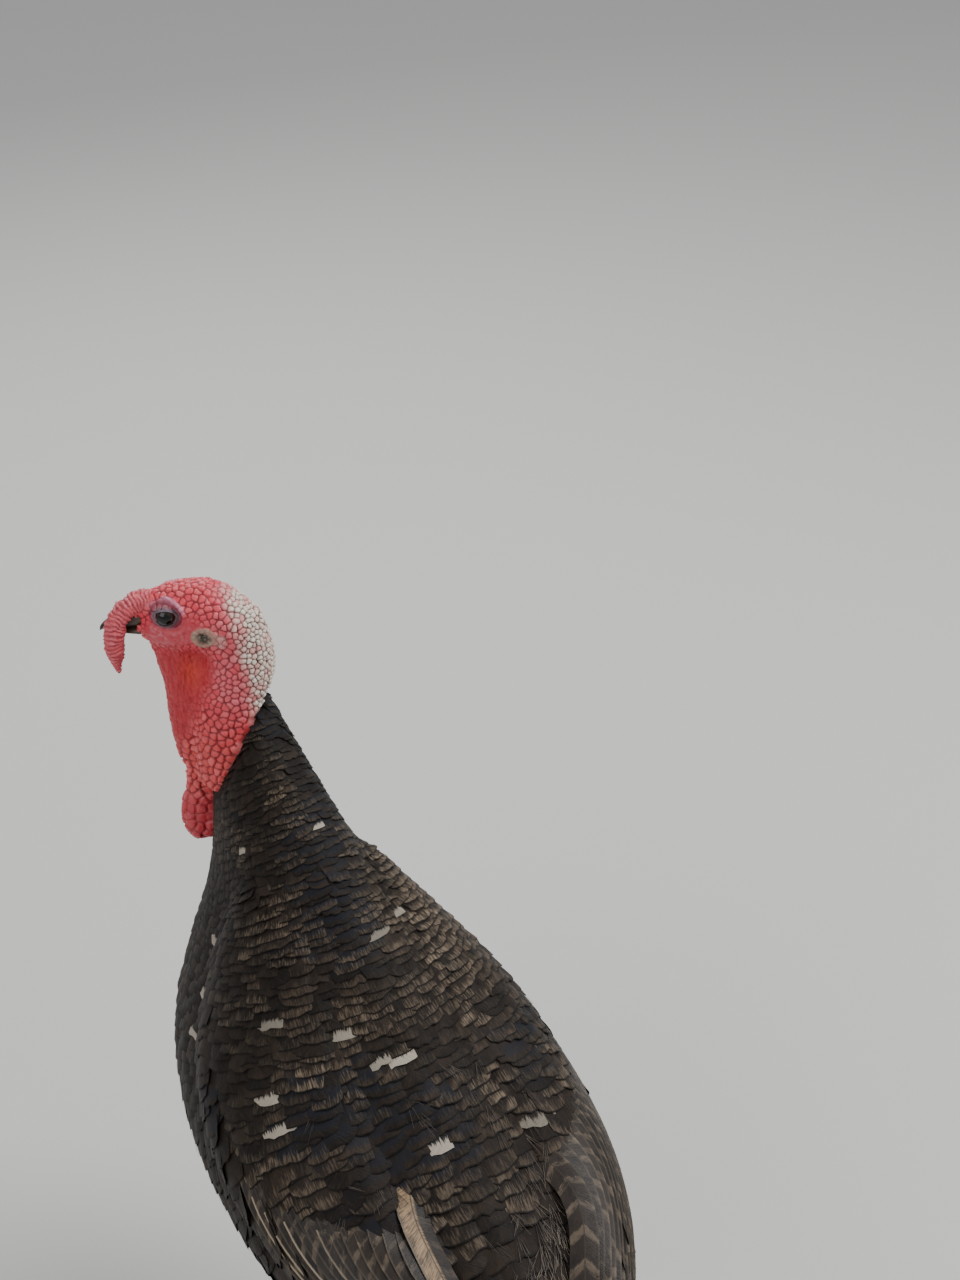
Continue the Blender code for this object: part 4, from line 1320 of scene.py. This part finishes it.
def eyelid_rims():
    """A rolled margin round each eye's opening, as rows of points to join to the skin."""
    verts, faces, colours = [], [], []
    around, rim = 84, 10
    corners = ((0, 0), (1, 0), (1, 1), (0, 1))
    for sign in (1, -1):
        centre = eye_centre(sign)
        base = len(verts)
        for i in range(around):
            a = 2 * math.pi * i / around
            corner = 1 + 0.10 * math.cos(a) ** 8
            flat = np.array((APERTURE[0] * corner * math.cos(a), APERTURE[1] * math.sin(a)))
            out = flat / np.linalg.norm(flat)
            deep = math.sqrt(max((EYE_RADIUS / MM + 0.50) ** 2 - flat @ flat, 6.0))
            for j in range(rim):
                b = 2 * math.pi * j / rim
                thick = 0.86 + 0.08 * math.sin(9 * a)
                swing = flat + out * thick * math.cos(b)
                verts.append(from_head(centre + (swing[0], sign * (deep + thick * math.sin(b)), swing[1])))
                colours.append((0.145, 0.110, 0.135) if math.cos(b) > -0.2 else (0.020, 0.012, 0.015))
        for i in range(around):
            for j in range(rim):
                quad = [base + (i + di) % around * rim + (j + dj) % rim for di, dj in corners]
                faces.append(quad if sign > 0 else quad[::-1])
    lids = mesh_object("lids", verts, faces)
    add_colour(lids, "skin_colour", np.array(colours))
    add_value(lids, "dryness", np.full(len(verts), 0.25))
    add_value(lids, "scute_run", np.zeros(len(verts)))
    add_value(lids, "scute_on", np.zeros(len(verts)))
    lids.data.materials.append(LOOKS["skin"])
    return lids


def joined(*objs):
    """Joins objects into the first."""
    with bpy.context.temp_override(active_object=objs[0], selected_editable_objects=list(objs)):
        bpy.ops.object.join()
    return objs[0]


def ear_bristles():
    rng = np.random.default_rng(91)
    coat = Coat("ear_bristles", 5, 1, "down", "bare_skin")
    for sign in (1, -1):
        for _ in range(EAR_BRISTLES):
            a, r = rng.uniform(0, 2 * math.pi), rng.uniform(0.45, 1.05)
            start = EAR_MIDDLE + (7.6 * r * math.cos(a), 0, 7.2 * r * math.sin(a))
            start[1] = sign * (24.6 - 1.6 * r**2)
            way = np.array((-0.8 + 0.5 * rng.normal(), 0.35 * sign, -0.5 + 0.5 * rng.normal()))
            long = rng.uniform(2.2, 4.6)
            s = np.linspace(0, 1, coat.along + 1)[:, None]
            line = start + way * long * s - np.array((0, 1.4 * sign, 0)) * s**2
            ups = np.tile(np.array((0, sign, 0)) @ HEAD_AXES.T, (coat.along + 1, 1))
            tone, fringe = rng.uniform(0.3, 1), rng.uniform(0.5, 1.0)
            root = (0.3 + 0.1 * sign, 0.95)
            coat.add(from_head(line), ups, EAR_BRISTLE_HALF_WIDTH, root, tone=tone, fringe=fringe)
    return coat.build(strand, 0.0, 0.0, 92)


# --- Eyes, bill, claws and spurs ------------------------------------------------------------------


def make_eye(side, sign):
    """The eyeball, with its cornea bulging a little, facing outward and slightly forward."""
    shape = bmesh.new()
    bmesh.ops.create_uvsphere(shape, u_segments=64, v_segments=40, radius=1.0)
    mesh = bpy.data.meshes.new("eyeball_" + side)
    shape.to_mesh(mesh)
    shape.free()
    eye = placed("eyeball_" + side, mesh)
    unit = coordinates(eye)
    off = np.arccos(np.clip(unit[:, 2], -1, 1)) / (math.pi / 2)
    bulge = 1 + 0.035 * ramp(off, 0.62, 0.40)
    gaze = Vector((0.10, sign, 0.03)).normalized()
    turn = np.array(gaze.to_track_quat("Z", "Y").to_matrix())
    local = (unit * bulge[:, None]) @ turn.T * EYE_RADIUS / MM
    move(eye, from_head(local + eye_centre(sign)))
    add_value(eye, "off_axis", off)
    add_value(eye, "round_axis", np.arctan2(unit[:, 1], unit[:, 0]) / (2 * math.pi))
    eye.data.shade_smooth()
    eye.data.materials.append(LOOKS["eye"])
    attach(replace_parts(eye, "eye_" + side), "root")
    return eye


def rounded_copy(node, name, look, tip_from):
    """A finer, rounder copy of a horn node; tip_from(points) gives 0 at the flesh to 1 at the tip."""
    obj = copied(name, node)
    shape = bmesh.new()
    shape.from_mesh(obj.data)
    bmesh.ops.remove_doubles(shape, verts=shape.verts, dist=1e-5)
    bmesh.ops.join_triangles(shape, faces=shape.faces, angle_face_threshold=0.9, angle_shape_threshold=0.9)
    shape.to_mesh(obj.data)
    shape.free()
    finer = obj.modifiers.new("finer", "SUBSURF")
    finer.levels = finer.render_levels = 2
    applied(obj)
    obj.data.shade_smooth()
    add_value(obj, "tipward", tip_from(coordinates(obj)))
    obj.data.materials.clear()
    obj.data.materials.append(LOOKS[look])
    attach(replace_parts(obj, node), "root")
    return obj


def horn_pieces():
    """The bill's halves, the nails and the spurs, each paler where it leaves the flesh."""

    def bill_share(points):
        return ramp(to_head(points)[:, 0], 14, 50)

    def nail_share(points):
        return ramp(np.linalg.norm(points[:, :2] - foot, axis=1), near, near + 0.016)

    def spur_share(points):
        return ramp(points[:, 1], spur_low[1], spur_high[1])

    for half in ("upper", "lower"):
        rounded_copy("bill_" + half, half + "_mandible", "bill", bill_share)
    for side, _ in SIDES:
        foot = foot_middle(side)
        for toe in TOE_NAMES:
            low, high = (np.array(c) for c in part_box(f"claw_{toe}_{side}"))
            near = np.linalg.norm((low + high)[:2] / 2 - foot) - 0.008
            rounded_copy(f"claw_{toe}_{side}", f"nail_{toe}_{side}", "claw", nail_share)
        spur_low, spur_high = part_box("spur_" + side)
        rounded_copy("spur_" + side, "leg_spur_" + side, "claw", spur_share)


# --- The whole bird -------------------------------------------------------------------------------


def make_bird():
    """All the pieces of the bird, on the solids they stand for."""
    skin = skin_cage()
    dress_skin(skin)
    joined(skin, eyelid_rims())
    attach(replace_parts(skin, *BARE_NODES, *LEG_NODES, *COATED_NODES), "root")
    for side, sign in SIDES:
        make_eye(side, sign)
    horn_pieces()
    body_feathers()
    for side, sign in SIDES:
        wing_feathers(side, sign)
    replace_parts(tail_feathers()[0], "tail")
    thigh_feathers()
    loose_barbs()
    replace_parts(beard_bristles(), "beard")
    ear_bristles()


# --- Camera, floor and light ----------------------------------------------------------------------

SENSOR = 36  # the sensor's height, in millimetres
FOCAL_PIXELS = 2100.0
PICTURE_HEIGHT = 1280
CAMERA_HEIGHT = 1.65
CAMERA_PITCH = math.radians(35.4)
BODY_HEADING = math.radians(33)  # the body's turn to the left of the view
HEAD_AHEAD, HEAD_RIGHT = 1.34, -0.2436  # the head's place on the ground from the camera


def make_camera():
    """The photograph's camera, found from its framing of the head and the body's outline."""
    ahead = Vector((-math.sin(BODY_HEADING), -math.cos(BODY_HEADING), 0))
    right = Vector((-math.cos(BODY_HEADING), math.sin(BODY_HEADING), 0))
    data = bpy.data.cameras.new("camera")
    data.sensor_width = SENSOR
    data.lens = SENSOR * FOCAL_PIXELS / PICTURE_HEIGHT
    camera = placed("camera", data)
    head = HEAD.translation
    camera.location = Vector((head.x, head.y, 0)) - right * HEAD_RIGHT - ahead * HEAD_AHEAD
    camera.location.z = CAMERA_HEIGHT
    look = ahead * math.cos(CAMERA_PITCH) - Vector((0, 0, math.sin(CAMERA_PITCH)))
    camera.rotation_euler = look.to_track_quat("-Z", "Y").to_euler()
    bpy.context.scene.camera = camera


# Each lamp's name, place, size and power in watts. All are turned to the bird's middle.
LAMPS = (
    ("key", (-1.6, 0.4, 2.6), 1.4, 62.0),
    ("fill", (2.2, 0.6, 1.9), 2.0, 26.0),
    ("rim", (-0.6, -2.2, 1.8), 1.2, 22.0),
)
LIT_POINT = Vector((0, 0, 0.45))


def make_stage():
    """A plain pale floor under soft studio light."""
    corners = [(6 * x, 6 * y, 0) for x, y in ((-1, -1), (1, -1), (1, 1), (-1, 1))]
    floor = mesh_object("floor", corners, [(0, 1, 2, 3)], smooth=False)
    look = Look("floor", roughness=0.8, specular=0.2)
    look.paint((0.62, 0.61, 0.59))
    floor.data.materials.append(look.material)
    world = bpy.data.worlds.new("studio")
    world.use_nodes = True
    world.node_tree.nodes["Background"].inputs["Color"].default_value = (0.95, 0.97, 1.0, 1)
    world.node_tree.nodes["Background"].inputs["Strength"].default_value = 0.50
    bpy.context.scene.world = world
    for name, place, size, power in LAMPS:
        lamp = placed(name, bpy.data.lights.new(name, "AREA"))
        lamp.data.size = size
        lamp.data.energy = power
        lamp.location = place
        lamp.rotation_euler = (LIT_POINT - Vector(place)).to_track_quat("-Z", "Y").to_euler()


make_bird()
make_camera()
make_stage()
